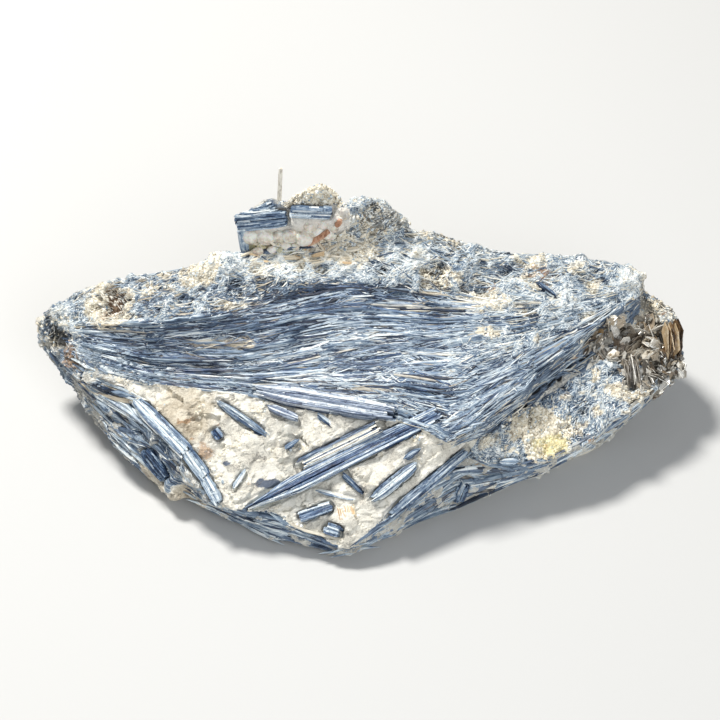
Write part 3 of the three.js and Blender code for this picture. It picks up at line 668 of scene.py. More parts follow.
def makeRock():
    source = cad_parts["kyanite_quartz_mass"]
    rock = addObject("rock", source.data.copy())
    rock.data.materials.clear()
    bpy.ops.object.select_all(action="DESELECT")
    rock.select_set(True)
    bpy.context.view_layer.objects.active = rock
    bpy.ops.object.mode_set(mode="EDIT")
    bpy.ops.mesh.select_all(action="SELECT")
    bpy.ops.mesh.remove_doubles(threshold=0.00001)
    bpy.ops.object.mode_set(mode="OBJECT")
    remesh = rock.modifiers.new("fine surface", "REMESH")
    remesh.mode, remesh.voxel_size = "VOXEL", rockLook["voxel"] * mm
    bpy.ops.object.modifier_apply(modifier=remesh.name)
    relax = rock.modifiers.new("relax", "SMOOTH")
    relax.factor, relax.iterations = 0.5, 2
    bpy.ops.object.modifier_apply(modifier=relax.name)
    points = pointsOf(rock.data)
    count = len(points)
    normals = np.empty(count * 3)
    rock.data.vertices.foreach_get("normal", normals)
    normals = normals.reshape(-1, 3)
    zone = zonesAt(points)
    x, y, z = points.T
    girth = zone["girth"]
    flow = np.column_stack([x, girthOf(points, soft=True)[0] * 30, np.zeros(count)])
    ring = ringAt(x)
    lengths = np.linalg.norm(np.roll(ring, -1, axis=1) - ring, axis=2)
    travelled = np.concatenate([np.zeros((count, 1)), lengths.cumsum(1)], 1)
    rows, low = np.arange(count), np.floor(girth).astype(int) % len(rails)
    lump = smooth(3, 4.5, zone["gap"])
    skin = np.column_stack([x, travelled[rows, low] + lengths[rows, low] * (girth - np.floor(girth)), z * 0])
    skin[:, 1] = skin[:, 1] * (1 - lump) + (z - y) * 0.7 * lump

    def flowing(length, width, seed):
        return cloud(flow / np.array([length, width, 1]), 1, seed, 2)

    _, facet = cells(points, 9, 61)
    _, smallFacet = cells(points, 3.6, 71)
    grainFar, _ = cells(points, 2.3, 81)
    lumpFar, _ = cells(points, 6.5, 91)
    pits = smooth(0.35, 0.8, cloud(points, 5, 44, 2))
    feltHeight = (1.8 * cloud(points, 11, 41) + 1.2 * cloud(points, 4.6, 42) + 0.8 * cloud(points, 2.0, 43, 2)
                  - 1.8 * pits)
    fanHeight = (0.9 * flowing(60, 6, 51) + 0.8 * flowing(30, 2.4, 52) + 0.5 * flowing(14, 1.2, 58)
                 + 0.3 * cloud(points, 7, 53))
    quartzHeight = 1.5 * facet + 0.55 * smallFacet + 0.6 * cloud(points, 16, 63)
    slateHeight = 0.4 * flowing(14, 2.2, 54) + 0.4 * cloud(points, 4, 55)
    crustHeight = (1.5 * (0.6 - grainFar) + 1.0 * cloud(points, 5, 82)
                   - 1.6 * smooth(0.2, 0.7, cloud(points, 4, 83)))
    sideHeight = 1.3 * flowing(24, 4, 56) + 1.5 * facet + 0.6 * cloud(points, 3, 57) + 0.6 * smallFacet
    lumpHeight = 2.8 * (0.55 - lumpFar)
    micaHeight = 1.8 * facet + 1.4 * smallFacet
    height = feltHeight
    for name, relief in (("fan", fanHeight), ("side", sideHeight), ("quartz", quartzHeight),
                         ("slate", slateHeight), ("shelf", feltHeight), ("crust", crustHeight),
                         ("mica", micaHeight), ("blockQuartz", lumpHeight), ("cap", crustHeight)):
        height = height * (1 - zone[name]) + relief * zone[name]
    for name, (rise, *border) in rockLook["rises"].items():
        height += rise * spotAt(points, name, *border)
    crack = crackAt(girth, x)
    covered, rim = aroundCrystals(points)
    height = height * (1 - 0.8 * covered) - 1.7 * crack - 0.35 * rim - 0.4 * covered
    # no relief near the ground, so that the flat base stays flat
    height *= smooth(0.5, 5, z)
    moved = points + normals * height[:, None]
    moved = np.clip(moved, boxLow, boxHigh)
    moved[z < 0.6, 2] = 0
    rock.data.vertices.foreach_set("co", (moved * mm).ravel())
    rock.data.update()
    written = {**zone, "crack": crack, "rim": rim, "relief": height}
    for name in (*rockZones, "grey", "pale", "tan", "crack", "rim"):
        writeNumbers(rock, name, written[name])
    writeVectors(rock, "flow", flow * mm)
    writeVectors(rock, "skin", skin * mm)
    print("rock:", count, "points")
    return rock, zone, covered


def needles(r, skin, patch, size, seed):
    # matted needles: streaks that run another way in each patch of the skin
    placed = r.vectors("ADD", skin, (seed * 0.1, seed * 0.07, 0))
    way = r.redOf(r.crystals(r.wobble(placed, 0.0016, 400.0), patch)["Color"])
    turned = r.node("ShaderNodeVectorRotate", {"rotation_type": "Z_AXIS"},
                    {"Vector": placed, "Angle": way * 3.14})["Vector"]
    return r.grain(r.stretch(turned, 0.14, 1.0, 1.0), size, 3, 0.6, 0.3)


def rockMaterial():
    r = Recipe("kyanite and quartz")
    here = r.place()
    flow, skin = r.attribute("flow", "Vector"), r.attribute("skin", "Vector")
    fan, quartz, slate, side, crust, mica, cream, rust, yellow, dark, white, block, relief = (
        r.attribute(name) for name in rockZones)
    fine = r.grain(here, 1.0, 4, 0.65, 0.8)
    broad = r.grain(here, 6, 3)
    streak = r.grain(r.stretch(flow, 0.05, 1.0, 1.0), 1.1, 4, 0.65)
    matted = needles(r, skin, 3.2, 0.42, 1).atLeast(needles(r, skin, 5.0, 0.6, 5))

    def laid(under, zone, upper, uneven=0.3, low=0.35, high=0.65, much=1):
        # one colour laid over another where the zone is, with an uneven border
        return r.mix((zone + (fine - 0.5) * uneven).step(low, high) * much, under, upper)

    # felt of short needles
    # dark and white: partly the felt's own colour, partly painted shade in the trough and a painted highlight
    # on its floor
    level = (matted - 0.6) * 3.0 + 0.72 + (broad - 0.5) * 0.7 + (fine - 0.5) * 0.7 - dark * 0.35 + white * 0.2
    # painted shade: the felt is darker where its relief is low and lighter where it stands out
    level = level + (relief * 0.12)
    feltShare = (cream + (broad - 0.5) * 0.8 + (fine - 0.5) * 0.5).step(0.3, 0.75)
    felt = r.mix(feltShare, r.ramp(level, "kyanite"), r.ramp(level + 0.06, "cream"))
    # the fan's streaks
    # the dark and white zones add the painted shade and painted highlight to the fan as well
    fanLevel = (streak - 0.5) * 2.8 + 0.5 + (broad - 0.5) * 0.5 - dark * 0.4 + white * 0.35
    fanColour = r.mix((cream + (streak - 0.5)).step(0.45, 0.8), r.ramp(fanLevel, "kyanite"),
                      r.ramp(fanLevel * 0.6 + 0.35, "cream"))
    colour = laid(felt, fan, fanColour)
    # quartz
    cloudy = r.grain(here, 9, 4, 0.6, 0.8)
    cell = r.crystals(here, 3.2)
    facets = r.redOf(cell["Color"])
    inCell = r.vectors("SUBTRACT", here, cell["Position"])
    lean = r.vectors("SUBTRACT", cell["Color"], (0.5, 0.5, 0.5))
    slopes = r.vectors("DOT_PRODUCT", inCell, lean, "Value") * 1000
    sugar = r.grain(here, 0.55, 3, 0.7)
    quartzLevel = cloudy * 0.8 + (fine - 0.5) * 0.4 + (facets - 0.5) * 0.2 + (sugar - 0.5) * 0.55 + 0.06
    quartzColour = r.ramp(quartzLevel, "quartz")
    tanShare = (r.attribute("tan") + (broad - 0.5) * 0.8).step(0.2, 0.95) * 0.85
    quartzColour = r.mix(tanShare, quartzColour, r.ramp(quartzLevel, "tan"))
    quartzColour = laid(quartzColour, dark, tint(86, 96, 112), 1, 0.3, 0.7)
    bent = r.wobble(here, 0.006, 200.0, 4.0)
    split = 1 - r.crystals(bent, 8.5, "DISTANCE_TO_EDGE")["Distance"].step(0.0, 0.02)
    split = split * r.grain(here, 5, 2).step(0.5, 0.6)
    quartzColour = r.mix(split * 0.4, quartzColour, tint(122, 114, 102))
    sideLevel = (streak - 0.5) * 2.6 + 0.46 + (broad - 0.5) * 0.6 - dark * 0.4
    sideShare = r.grain(here, 13, 3, 0.6, 0.5) + (streak - 0.5) * 0.6 + r.attribute("pale") * 0.26
    sideShare = sideShare.step(0.42, 0.56)
    sideColour = r.mix(sideShare, r.ramp(sideLevel, "kyanite"),
                       r.mix(0.35, quartzColour, tint(150, 152, 150)))
    colour = laid(colour, side, sideColour)
    colour = laid(colour, quartz, quartzColour, 0.4, 0.4, 0.6)
    milky = r.mix((broad + cloudy - 0.5).step(0.4, 0.75) * 0.4,
                  r.mix(0.6, quartzColour, tint(252, 248, 240)), tint(214, 190, 170))
    colour = laid(colour, block, milky, 0.4, 0.4, 0.6)
    # the dark diagonal step, which faces away from the light; its darker colour is partly painted shade
    slateLevel = (streak - 0.5) * 1.6 + 0.42 + (broad - 0.5) * 0.5
    colour = laid(colour, slate, r.ramp(slateLevel, "slate"), 0.3, 0.4, 0.6)
    # grey-brown felt of the lumps, crust, mica and stains
    colour = laid(colour, r.attribute("grey"), r.ramp(level * 0.8, "grey"), 0.8, 0.3, 0.8, 0.8)
    # painted shade: the crust is darker where its relief is low
    crustLevel = (fine - 0.5) * 2.2 + 0.62 + relief * 0.2
    colour = laid(colour, crust, r.ramp(crustLevel, "cream"), 0.9)
    colour = laid(colour, yellow, tint(236, 224, 158), 0.9, 0.3, 0.75, 0.6)
    micaLevel = (r.grain(r.stretch(here, 1, 1, 0.25), 2.2, 4, 0.6, 0.6) - 0.5) * 2.4 + 0.5
    colour = laid(colour, mica, r.ramp(micaLevel, "micaBed"), 0.6, 0.4, 0.6)
    colour = laid(colour, rust, r.ramp(fine, "rust"), 0.9, 0.35, 0.75, 0.8)
    # painted shade in the hollows, and painted shadow in the narrow gaps beside the crystals
    hollowShade = (relief * -1 + (fine - 0.5)).step(0.7, 3.0) * 0.55
    colour = r.mix(hollowShade, colour, tint(54, 54, 52))
    # painted shadow: darker in the narrow gap around each crystal
    colour = r.mix(r.attribute("rim").step(0.3, 1.0) * 0.34, colour, tint(62, 66, 74))
    colour = r.mix(r.attribute("crack").step(0.3, 0.75), colour, tint(12, 13, 16))
    r.feed("IOR", 1.5)
    feltBump = (matted - 0.5) * (1 - fan) * (1 - quartz) * 1.2
    quartzBump = slopes * 0.3 + sugar * 0.35 - split * 0.3
    height = fine * (1 - quartz * 0.4) * 0.5 + feltBump + streak * fan * 0.8 + quartzBump * quartz
    return r.finish(colour, (fine - 0.5) * 0.2 + 0.64 - quartz * 0.1 - mica * 0.3,
                    height + r.grain(here, 2.6, 3, 0.6) * 0.4, 0.9)


rock, rockZone, rockCovered = makeRock()
rock.data.materials.append(rockMaterial())
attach(rock, "root")
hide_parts("kyanite_quartz_mass")
rockPoints = pointsOf(rock.data)
rockTree = BVHTree.FromPolygons([Vector(p) for p in rockPoints * mm],
                                [tuple(p.vertices) for p in rock.data.polygons])


def onRock(points):
    # the nearest place on the finished rock to each point, and the way it faces
    places, facings = np.empty_like(points), np.empty_like(points)
    for i, point in enumerate(points * mm):
        place, facing, _, _ = rockTree.find_nearest(point)
        places[i], facings[i] = place, facing
    return places / mm, facings


# slender blades laid on the rock
def bladeMaterial(name, rough=0.4, gloss=0.5, frosty=0.0):
    r = Recipe(name)
    grain = r.attribute("grain", "Vector")
    tone, cream, grey = r.attribute("tone"), r.attribute("cream"), r.attribute("grey")
    streak = r.grain(r.stretch(grain, 0.025, 1.0, 1.0), 0.32, 3, 0.65)
    patch = r.grain(r.stretch(grain, 0.3, 0.8, 1.0), 1.7, 4, 0.6)
    # fine dark lines in the blades: partly cleavage partings, partly painted shade in the gaps between fibres
    partingAndGapShade = r.grain(r.stretch(grain, 1.0, 0.12, 1.0), 1.1, 2, 0.5).step(0.6, 0.7)
    level = tone + (streak - 0.5) * 1.0 + (patch - 0.5) * 1.1 - partingAndGapShade * 0.14
    if frosty:
        # thin pale skin and fine dark partings along the strips
        coarse = r.grain(r.stretch(grain, 0.07, 1.0, 1.0), 0.62, 3, 0.7)
        flecks = r.grain(r.stretch(grain, 0.45, 1.0, 1.0), 1.0, 4, 0.7).step(0.5, 0.68)
        partings = (1 - coarse).step(0.58, 0.7)
        level = level + (coarse - 0.5 + flecks * 0.26 - partings * 0.22) * frosty
    colour = r.mix(r.attribute("blue"), r.ramp(level, "kyanite"), r.ramp(level, "blue"))
    colour = r.mix(r.attribute("lilac") * 0.5, colour, r.ramp(level, "lilac"))
    colour = r.mix(grey, colour, r.ramp(level * 0.85, "greyBlade"))
    colour = r.mix((cream + (patch - 0.5) * 0.8).step(0.35, 0.8) * 0.85, colour,
                   r.ramp(level * 0.6 + 0.42, "cream"))
    r.feed("IOR", 1.6)
    r.feed("Specular IOR Level", gloss)
    return r.finish(colour, (streak - 0.5) * 0.3 + rough, streak - partingAndGapShade * 0.5, 0.2)


kyanite = bladeMaterial("kyanite")
feltKyanite = bladeMaterial("felted kyanite", 0.55)
blueKyanite = bladeMaterial("blue kyanite", 0.45, 0.3, 1.0)


def scatter(wanted, weight, rng):
    # random places on the rock, denser where the weight is greater
    mesh = rock.data
    mesh.calc_loop_triangles()
    corners = np.empty(len(mesh.loop_triangles) * 3, int)
    mesh.loop_triangles.foreach_get("vertices", corners)
    corners = corners.reshape(-1, 3)
    a, b, c = (rockPoints[corners[:, k]] for k in range(3))
    cross = np.cross(b - a, c - a)
    odds = np.linalg.norm(cross, axis=1) * weight[corners].mean(1)
    picked = rng.choice(len(corners), wanted, p=odds / odds.sum())
    u, v = rng.random(wanted), rng.random(wanted)
    flip = u + v > 1
    u, v = np.where(flip, 1 - u, u), np.where(flip, 1 - v, v)
    return a[picked] + (b - a)[picked] * u[:, None] + (c - a)[picked] * v[:, None], unit(cross[picked])


def tonesOf(spot, zone, base, rng, darkShare, creamShare):
    count = len(spot)
    fan = zone["fan"]
    tone = np.where(rng.random(count) < darkShare, base - 0.42 - 0.13 * fan, base + 0.07 * fan)
    tone += rng.normal(0, 0.14, count)
    # white and dark carry the painted highlight and painted shade of the trough as well as real pale and dark
    # patches
    tone += 0.2 * zone["white"] - 0.34 * zone["dark"] - 0.05 * zone["side"] + 0.03 * zone["slate"]
    blue = np.where(rng.random(count) < 0.3, 0.9, 0.25) * zone["fan"]
    grey = zone["grey"] * np.where(rng.random(count) < 0.35, 0.7, 0.08)
    creamy = rng.random(count) < 0.26 * creamShare * (1 - zone["fan"] * 0.86) * (1 - zone["side"] * 0.75)
    cream = np.where(creamy, 0.85 - 0.2 * zone["fan"],
                     np.clip(zone["cream"] * creamShare + rng.normal(0, 0.16, count), 0, 1))
    return {"tone": np.clip(tone, 0.02, 0.98), "blue": blue, "grey": grey, "cream": cream}


def spread(few, many, share):
    # sizes between few and many, most of them near few
    return few + (many - few) * share ** 2


def fanBlades(name, look, weight):
    # blades that run along the fan, from one end of the rock towards the other
    rng = np.random.default_rng(look["seed"])
    count, stations, stiff = look["count"], look["points"], look["stiff"]
    spot, _ = scatter(count, weight, rng)
    girth, _ = girthOf(spot, soft=True)
    zone = zonesAt(spot)
    length = spread(*look["long"], rng.random(count))
    length *= 1 - 0.6 * smooth(85, 130, np.abs(spot[:, 0]))
    drift = rng.normal(0, look["splay"], count)
    share = np.linspace(-0.5, 0.5, stations)
    lines, facings = np.empty((count, stations, 3)), np.empty((count, stations, 3))
    for j, part in enumerate(share):
        x = np.clip(spot[:, 0] + part * length, -131, 131)
        lines[:, j], facings[:, j] = onRock(loftPoint(x, girth + drift * part * 2))
    sound = np.linalg.norm(np.diff(lines, axis=1), axis=2).max(1) < length / (stations - 1) * 1.3 + 0.6
    lines, facings, spot, girth, length = (part[sound] for part in (lines, facings, spot, girth, length))
    zone, count = {key: values[sound] for key, values in zone.items()}, len(spot)
    straight = lines[:, :1] + (lines[:, -1:] - lines[:, :1]) * (share + 0.5)[None, :, None]
    lines = lines * (1 - stiff) + straight * stiff
    facings = unit(facings + facings.mean(1, keepdims=True) * 2)
    width = spread(*look["wide"], rng.random(count))
    widths = width[:, None] * (1 - 0.35 * (np.abs(share) * 2) ** 2)[None]
    heights = widths * rng.uniform(0.3, 0.6, count)[:, None]
    waves = cloud(np.column_stack([spot[:, 0] / 50, girth * 11, girth * 0]), 1, 7, 2)
    bundles = cloud(np.column_stack([spot[:, 0] / 24, girth * 34, girth * 0]), 1, 17, 2)
    base = (0.56 + 0.26 * waves + (0.07 + 0.1 * zone["fan"]) * bundles + 0.08 * zone["side"]
            + 0.06 * smooth(20, 60, spot[:, 0]))
    base -= 0.03 * (1 - zone["fan"])
    extra = tonesOf(spot, zone, base, rng, 0.25 + 0.11 * zone["fan"], 0.8)
    tips = width[:, None] * rng.uniform(0.3, 4, (count, 2))
    tips *= 1 - 0.85 * smooth(108, 126, np.abs(spot[:, :1]))
    return bladeMesh(name, lines, facings, widths, heights, rng.normal(0, 0.3, count), tips, kyanite, extra)


def feltBlades(name, look, weight):
    # short needles matted together
    rng = np.random.default_rng(look["seed"])
    count = look["count"]
    spot, facing = scatter(count, weight, rng)
    zone = zonesAt(spot)
    ahead = loftPoint(spot[:, 0] + 2, zone["girth"]) - loftPoint(spot[:, 0] - 2, zone["girth"])
    ahead = unit(ahead - facing * (ahead * facing).sum(1, keepdims=True))
    beside = np.cross(facing, ahead)
    turn = 4.4 * cloud(spot, 12, 3, 2) * (1 - look["order"]) + rng.normal(0, 0.36, count) + 0.25
    way = ahead * np.cos(turn)[:, None] + beside * np.sin(turn)[:, None]
    rise = rng.normal(0, look["lean"], count)
    way = unit(way * np.cos(rise)[:, None] + facing * np.sin(rise)[:, None])
    length = spread(*look["long"], rng.random(count))
    width = spread(*look["wide"], rng.random(count))
    extra = tonesOf(spot, zone, look["light"] + 0.12 * cloud(spot, 9, 8), rng, 0.22, 0.9)
    tips = length[:, None] * rng.uniform(0.25, 0.7, (count, 2))
    for end, sign in ((0, -1), (1, 1)):
        point = spot + way * tips[:, end:end + 1] * sign
        clear = np.linalg.norm(onRock(point)[0] - point, axis=1)
        tips[:, end] *= np.minimum(1, 0.35 / np.maximum(clear, 0.01)) ** 0.8
    widths = width[:, None]
    return bladeMesh(name, spot[:, None], facing[:, None], widths, widths * 0.5, rng.normal(0, 0.5, count),
                     tips, feltKyanite, extra, way)


z = rockPoints[:, 2]
x = rockPoints[:, 0]
girthHere = rockZone["girth"]
low = smooth(1.5, 5, z) * (1 - rockCovered)
bare = 1 - np.maximum.reduce([rockZone[name] for name in ("quartz", "mica", "crust", "blockQuartz", "cap")])
fanWeight = rockZone["fan"] * low
sideWeight = rockZone["side"] * low * (girthHere < 7.6) * bare * (1 - 0.55 * rockZone["pale"])
slateWeight = rockZone["slate"] * low * (1 - crackAt(girthHere, x))
feltWeight = (1 - rockZone["fan"]) * bare * low * (girthHere < 7.3) * (1 - 0.8 * rockZone["slate"])
feltWeight *= 1 - 0.8 * rockZone["side"]
feltWeight += (girthHere > 10.3) * low * bare
feltWeight *= 1 - spotAt(rockPoints, "vug", 0.3, 0.3)
feltWeight *= 1 - 0.85 * spotAt(rockPoints, "leftEnd", 0.3, 0.3)
sideWeight *= 1 - 0.8 * spotAt(rockPoints, "leftEnd", 0.3, 0.3)
rimWeight = feltWeight * (girthHere < 1.1) * (1 - rockZone["blockFelt"]) * (1 - 0.6 * rockZone["cream"])
backWeight = (girthHere > 7.6) * (girthHere < 10.45) * low * (bare + 0.08)

# fan pieces run along the fan; lengths and widths in millimetres; points: places along each blade that follow
# the rock; stiff: how straight it stays; splay: how much it strays. Felt pieces are single needles; lean: how
# steeply they rise; order: how alike they run; light: how pale they are
bladeLook = {
    "fanBladesBroad": {"count": 560, "long": (14, 45), "wide": (0.7, 1.4), "points": 7, "stiff": 0.6,
                       "splay": 0.035, "seed": 101},
    "fanBladesFine": {"count": 8600, "long": (4, 18), "wide": (0.26, 0.66), "points": 3, "stiff": 0.3,
                      "splay": 0.035, "seed": 102},
    "rimBlades": {"count": 2600, "long": (2.5, 10), "wide": (0.26, 0.7), "points": 3, "stiff": 0.15,
                  "splay": 0.07, "seed": 108},
    "slateBlades": {"count": 900, "long": (3, 12), "wide": (0.3, 0.8), "points": 3, "stiff": 0.3,
                    "splay": 0.05, "seed": 107},
    "sideBlades": {"count": 2100, "long": (5, 26), "wide": (0.5, 2.4), "points": 4, "stiff": 0.5,
                   "splay": 0.035, "seed": 105},
    "feltBladesFront": {"count": 16000, "long": (1.8, 6), "wide": (0.22, 0.56), "lean": 0.035, "order": 0.8,
                        "light": 0.915, "seed": 103},
    "backBlades": {"count": 4600, "long": (8, 44), "wide": (0.5, 2.4), "points": 5, "stiff": 0.4,
                   "splay": 0.05, "seed": 106},
    "feltBladesBack": {"count": 5000, "long": (3, 10), "wide": (0.3, 0.8), "lean": 0.05, "order": 0.94,
                       "light": 0.72, "seed": 104},
}
bladeWeights = {"fanBladesBroad": fanWeight, "fanBladesFine": fanWeight, "rimBlades": rimWeight,
                "slateBlades": slateWeight, "sideBlades": sideWeight, "feltBladesFront": feltWeight,
                "backBlades": backWeight, "feltBladesBack": backWeight}
bladePieces = [(feltBlades if "lean" in look else fanBlades)(name, look, bladeWeights[name])
               for name, look in bladeLook.items()]
for piece in bladePieces:
    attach(piece, "root")
    print(piece.name, len(piece.data.polygons), "faces")


# the separate crystals, each a bundle of cleavage strips in its bed
def taperAt(look, part):
    # how much narrower a crystal is, from its left end at 0 to its right end at 1
    return look["taper"][0] * (1 - smooth(0, 0.28, part)) + look["taper"][1] * smooth(0.72, 1, part)


def crystalPiece(name, look, seed):
    rng = np.random.default_rng(seed)
    middle, along, across, out, (length, width, height) = crystalPlaces[name]
    tones, stations = look["tones"], 8
    length *= look["longer"]
    edges = np.cumsum(np.concatenate([[0], rng.uniform(0.6, 1.4, len(tones))]))
    edges = edges / edges[-1] - 0.5
    lines, widths, heights, shades, rolls = [], [], [], [], []
    stripHeight = min(height * 0.9, 3.0)
    for left, right, tone in zip(edges[:-1], edges[1:], tones):
        first = rng.uniform(0, look["ragged"])
        broken = np.sort(rng.uniform(0.12, 0.88, rng.integers(0, look["breaks"] + 1)))
        cuts = [first, *broken, 1 - rng.uniform(0, look["ragged"])]
        lift = rng.normal(0, 0.04) * min(height, 3)
        for start, end in zip(cuts[:-1], cuts[1:]):
            part = np.linspace(start + 0.1 / length, end - 0.1 / length, stations)
            closing = 1 - taperAt(look, part)
            centre = (left + right) / 2 * width * closing
            rise = stripHeight * 0.5 + abs(rng.normal(0, 0.035)) * stripHeight - lift
            lines.append(middle + along * ((part - 0.5) * length)[:, None] + across * centre[:, None]
                         + out * (height / 2 - rise - 0.3 * (1 - closing))[:, None])
            widths.append((right - left) * width * closing * 1.42 + 0.02)
            heights.append(np.full(stations, stripHeight))
            shades.append(tone + rng.normal(0, 0.07))
            rolls.append(rng.normal(0, 0.08))
    # thin splinters along the top and the sides of the strips
    for _ in range(int(4 + length * 0.7) if length > 7 else 1):
        size = length * rng.uniform(0.08, 0.45)
        start = rng.uniform(-length / 2, length / 2 - size)
        part = np.linspace(start, start + size, stations)
        offset = rng.choice([-0.5, 0.5, rng.uniform(-0.45, 0.45)]) * width * 1.02 + rng.normal(0, 0.15)
        taper = taperAt(look, part / length + 0.5)
        drop = 0.1 + (0.6 if abs(offset) > width * 0.44 else 0) + rng.uniform(0, 0.3)
        lines.append(middle + along * part[:, None] + across * (offset * (1 - taper))[:, None]
                     + out * (height / 2 - drop - 0.5)[..., None])
        widths.append(np.full(stations, rng.uniform(0.18, 0.6)))
        heights.append(np.full(stations, rng.uniform(0.45, 0.8)))
        shades.append(rng.choice(tones) + rng.normal(0, 0.14))
        rolls.append(rng.normal(0, 0.3))
    lines, widths = np.array(lines), np.array(widths)
    facings = np.broadcast_to(out, lines.shape)
    count = len(lines)
    creamy = np.where(np.array(shades) > 0.7, 0.75, 0.1) * (name == "cream_blade")
    extra = {"tone": np.clip(shades, 0.03, 0.97), "cream": creamy, "grey": np.zeros(count),
             "lilac": np.full(count, 0.6 if name.startswith("lilac") else 0.0),
             "blue": np.full(count, look["blue"])}
    tips = np.column_stack([rng.uniform(0.05, 0.5, count), rng.uniform(0.05, 0.5, count)])
    tips *= widths.mean(1)[:, None]
    return bladeMesh(name + "_piece", lines, facings, widths, np.array(heights), np.array(rolls), tips,
                     blueKyanite, extra)


peakLook = {"strips": 16, "points": 5}


def crestPeak():
    # the steep end of the crest's left blade rises above the block in a low peak
    rng = np.random.default_rng(390)
    count, stations = peakLook["strips"], peakLook["points"]
    step = np.linspace(0, 1, count)
    starts = np.column_stack([-50 + step * 9, 25.2 + step * 2.4, 90.2 + step * 2.6])
    ends = np.column_stack([-33.5 + rng.normal(0, 1.2, count) - step * 4, starts[:, 1], 91.2 + step * 4.2])
    share = np.linspace(0, 1, stations)[None, :, None]
    lines = starts[:, None] + (ends - starts)[:, None] * share
    facings = np.broadcast_to(unit(np.array([0, -0.8, 0.6])), lines.shape)
    widths = np.repeat(rng.uniform(0.6, 1.5, count)[:, None], stations, 1)
    extra = {"tone": np.clip(rng.choice([0.3, 0.45, 0.65, 0.8], count) + rng.normal(0, 0.06, count), 0, 1),
             "cream": np.zeros(count), "grey": np.zeros(count)}
    return bladeMesh("crestPeak", lines, facings, widths, widths * 0 + 1.6, rng.normal(0, 0.15, count),
                     rng.uniform(0.2, 1.4, (count, 2)), blueKyanite, extra)


peak = crestPeak()
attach(peak, "root")
slotOfCrystal = {
    "dark_kyanite": ("side_crystal", "small_crystal", "leaning_sliver", "hook_sliver", "dark_sliver",
                     "tip_crystal", "corner_crystal", "felt_sliver", "crest_blade_left"),
    "pale_kyanite": ("cream_blade", "lilac_blade", "edge_blade_upper", "edge_blade_middle",
                     "edge_blade_lower", "white_sliver", "faint_sliver", "pale_blade", "shelf_lens")}
for number, (name, look) in enumerate(crystalLook.items()):
    piece = crystalPiece(name, look, 300 + number)
    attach(piece, "root")
    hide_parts(name)
    next((slot for slot, names in slotOfCrystal.items() if name in names), "blue_kyanite")
print("separate crystals:", len(crystalLook))


# grains and flakes
def blobs(name, spot, facing, sizes, flatness, material, extra, seed):
    # small uneven ten-sided grains, sunk a little in the rock
    rng = np.random.default_rng(seed)
    count = len(spot)
    ahead = unit(np.cross(facing, unit(rng.normal(size=(count, 3)))))
    beside = np.cross(facing, ahead)
    shape = np.array([(1, 0, 0), (0.3, 0.95, 0), (-0.8, 0.6, 0), (-0.8, -0.6, 0), (0.3, -0.95, 0),
                      (0, 0, 1), (0, 0, -1)])
    local = shape[None] * rng.uniform(0.6, 1.3, (count, 7, 1)) + rng.normal(0, 0.08, (count, 7, 3))
    local *= sizes[:, None, None] / 2
    local[:, :, 2] *= flatness
    points = (spot[:, None] + ahead[:, None] * local[..., :1] + beside[:, None] * local[..., 1:2]
              + facing[:, None] * local[..., 2:])
    faces = [(k, (k + 1) % 5, 5) for k in range(5)] + [((k + 1) % 5, k, 6) for k in range(5)]
    piece = meshOf(name, points.reshape(-1, 3), alike(faces, count, 7), material)
    writeExtra(piece, extra, 7)
    return piece


def grainMaterial():
    r = Recipe("crust grains")
    fine = r.grain(r.place(), 0.7, 3)
    level = r.attribute("tone") + (fine - 0.5) * 0.8
    colour = r.mix(r.attribute("warm"), r.ramp(level, "kyanite"), r.ramp(level, "cream"))
    colour = r.mix(r.attribute("yellow") * 0.5, colour, tint(236, 222, 150))
    colour = r.mix(r.attribute("rust") * 0.7, colour, tint(168, 112, 72))
    return r.finish(colour, fine * 0.3 + 0.5, fine, 0.3)


crustLook = {"count": 7000, "sizes": (0.5, 1.9)}
rng = np.random.default_rng(401)
crustWeight = (rockZone["crust"] * 2 + rockZone["cap"] * 2 + smooth(0.5, 0.9, rockZone["cream"])
               + rockZone["grey"] * 0.5) * low * (1 - 0.9 * rockZone["fan"]) * (1 - 0.9 * rockZone["slate"])
crustWeight *= (1 - smooth(0.4, 0.8, rockZone["rust"])) * (1 - rockZone["blockQuartz"])
crustWeight *= 1 - 0.8 * spotAt(rockPoints, "knobGrey")
spot, facing = scatter(crustLook["count"], crustWeight, rng)
zone = zonesAt(spot)
smallest, largest = crustLook["sizes"]
sizes = smallest + (largest - smallest) * rng.random(len(spot)) ** 3
crustGrains = blobs("crustGrains", spot, facing, sizes, 0.8, grainMaterial(), {
    "tone": np.clip(0.78 + rng.normal(0, 0.16, len(spot)) - 0.2 * zone["grey"], 0.1, 1),
    "warm": np.where(rng.random(len(spot)) < 0.85 - 0.4 * zone["blockFelt"], 1.0, 0.0),
    "yellow": zone["yellow"],
    "rust": np.clip(zone["rust"] * (rng.random(len(spot)) < 0.6), 0, 1)}, 402)
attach(crustGrains, "root")
print("crust grains:", len(spot))


# rounded quartz lumps and loose flakes on the front of the crest's block
blockLook = {"flakes": 46, "streaks": 15, "rustyBlades": 16,
             "lumps": [(-44.6, 79.4, 4.2), (-38, 79.6, 3.9), (-32.6, 80.4, 3.2), (-28, 81, 3.6),
                       (-23, 80.2, 4.1), (-17.4, 82, 3.1), (-35.4, 84, 2.3), (-30.4, 76.6, 2.4),
                       (-41.4, 75.4, 2.3), (-26, 76, 2.4), (-12.8, 80.2, 2.9), (-20.4, 85, 2.3),
                       (-46.6, 84.4, 2.1), (-10.6, 84, 2.2), (-35.6, 75.4, 2.0), (-19, 76.6, 2.1),
                       (-15, 86.4, 2.4), (-9.4, 88, 2.0)]}


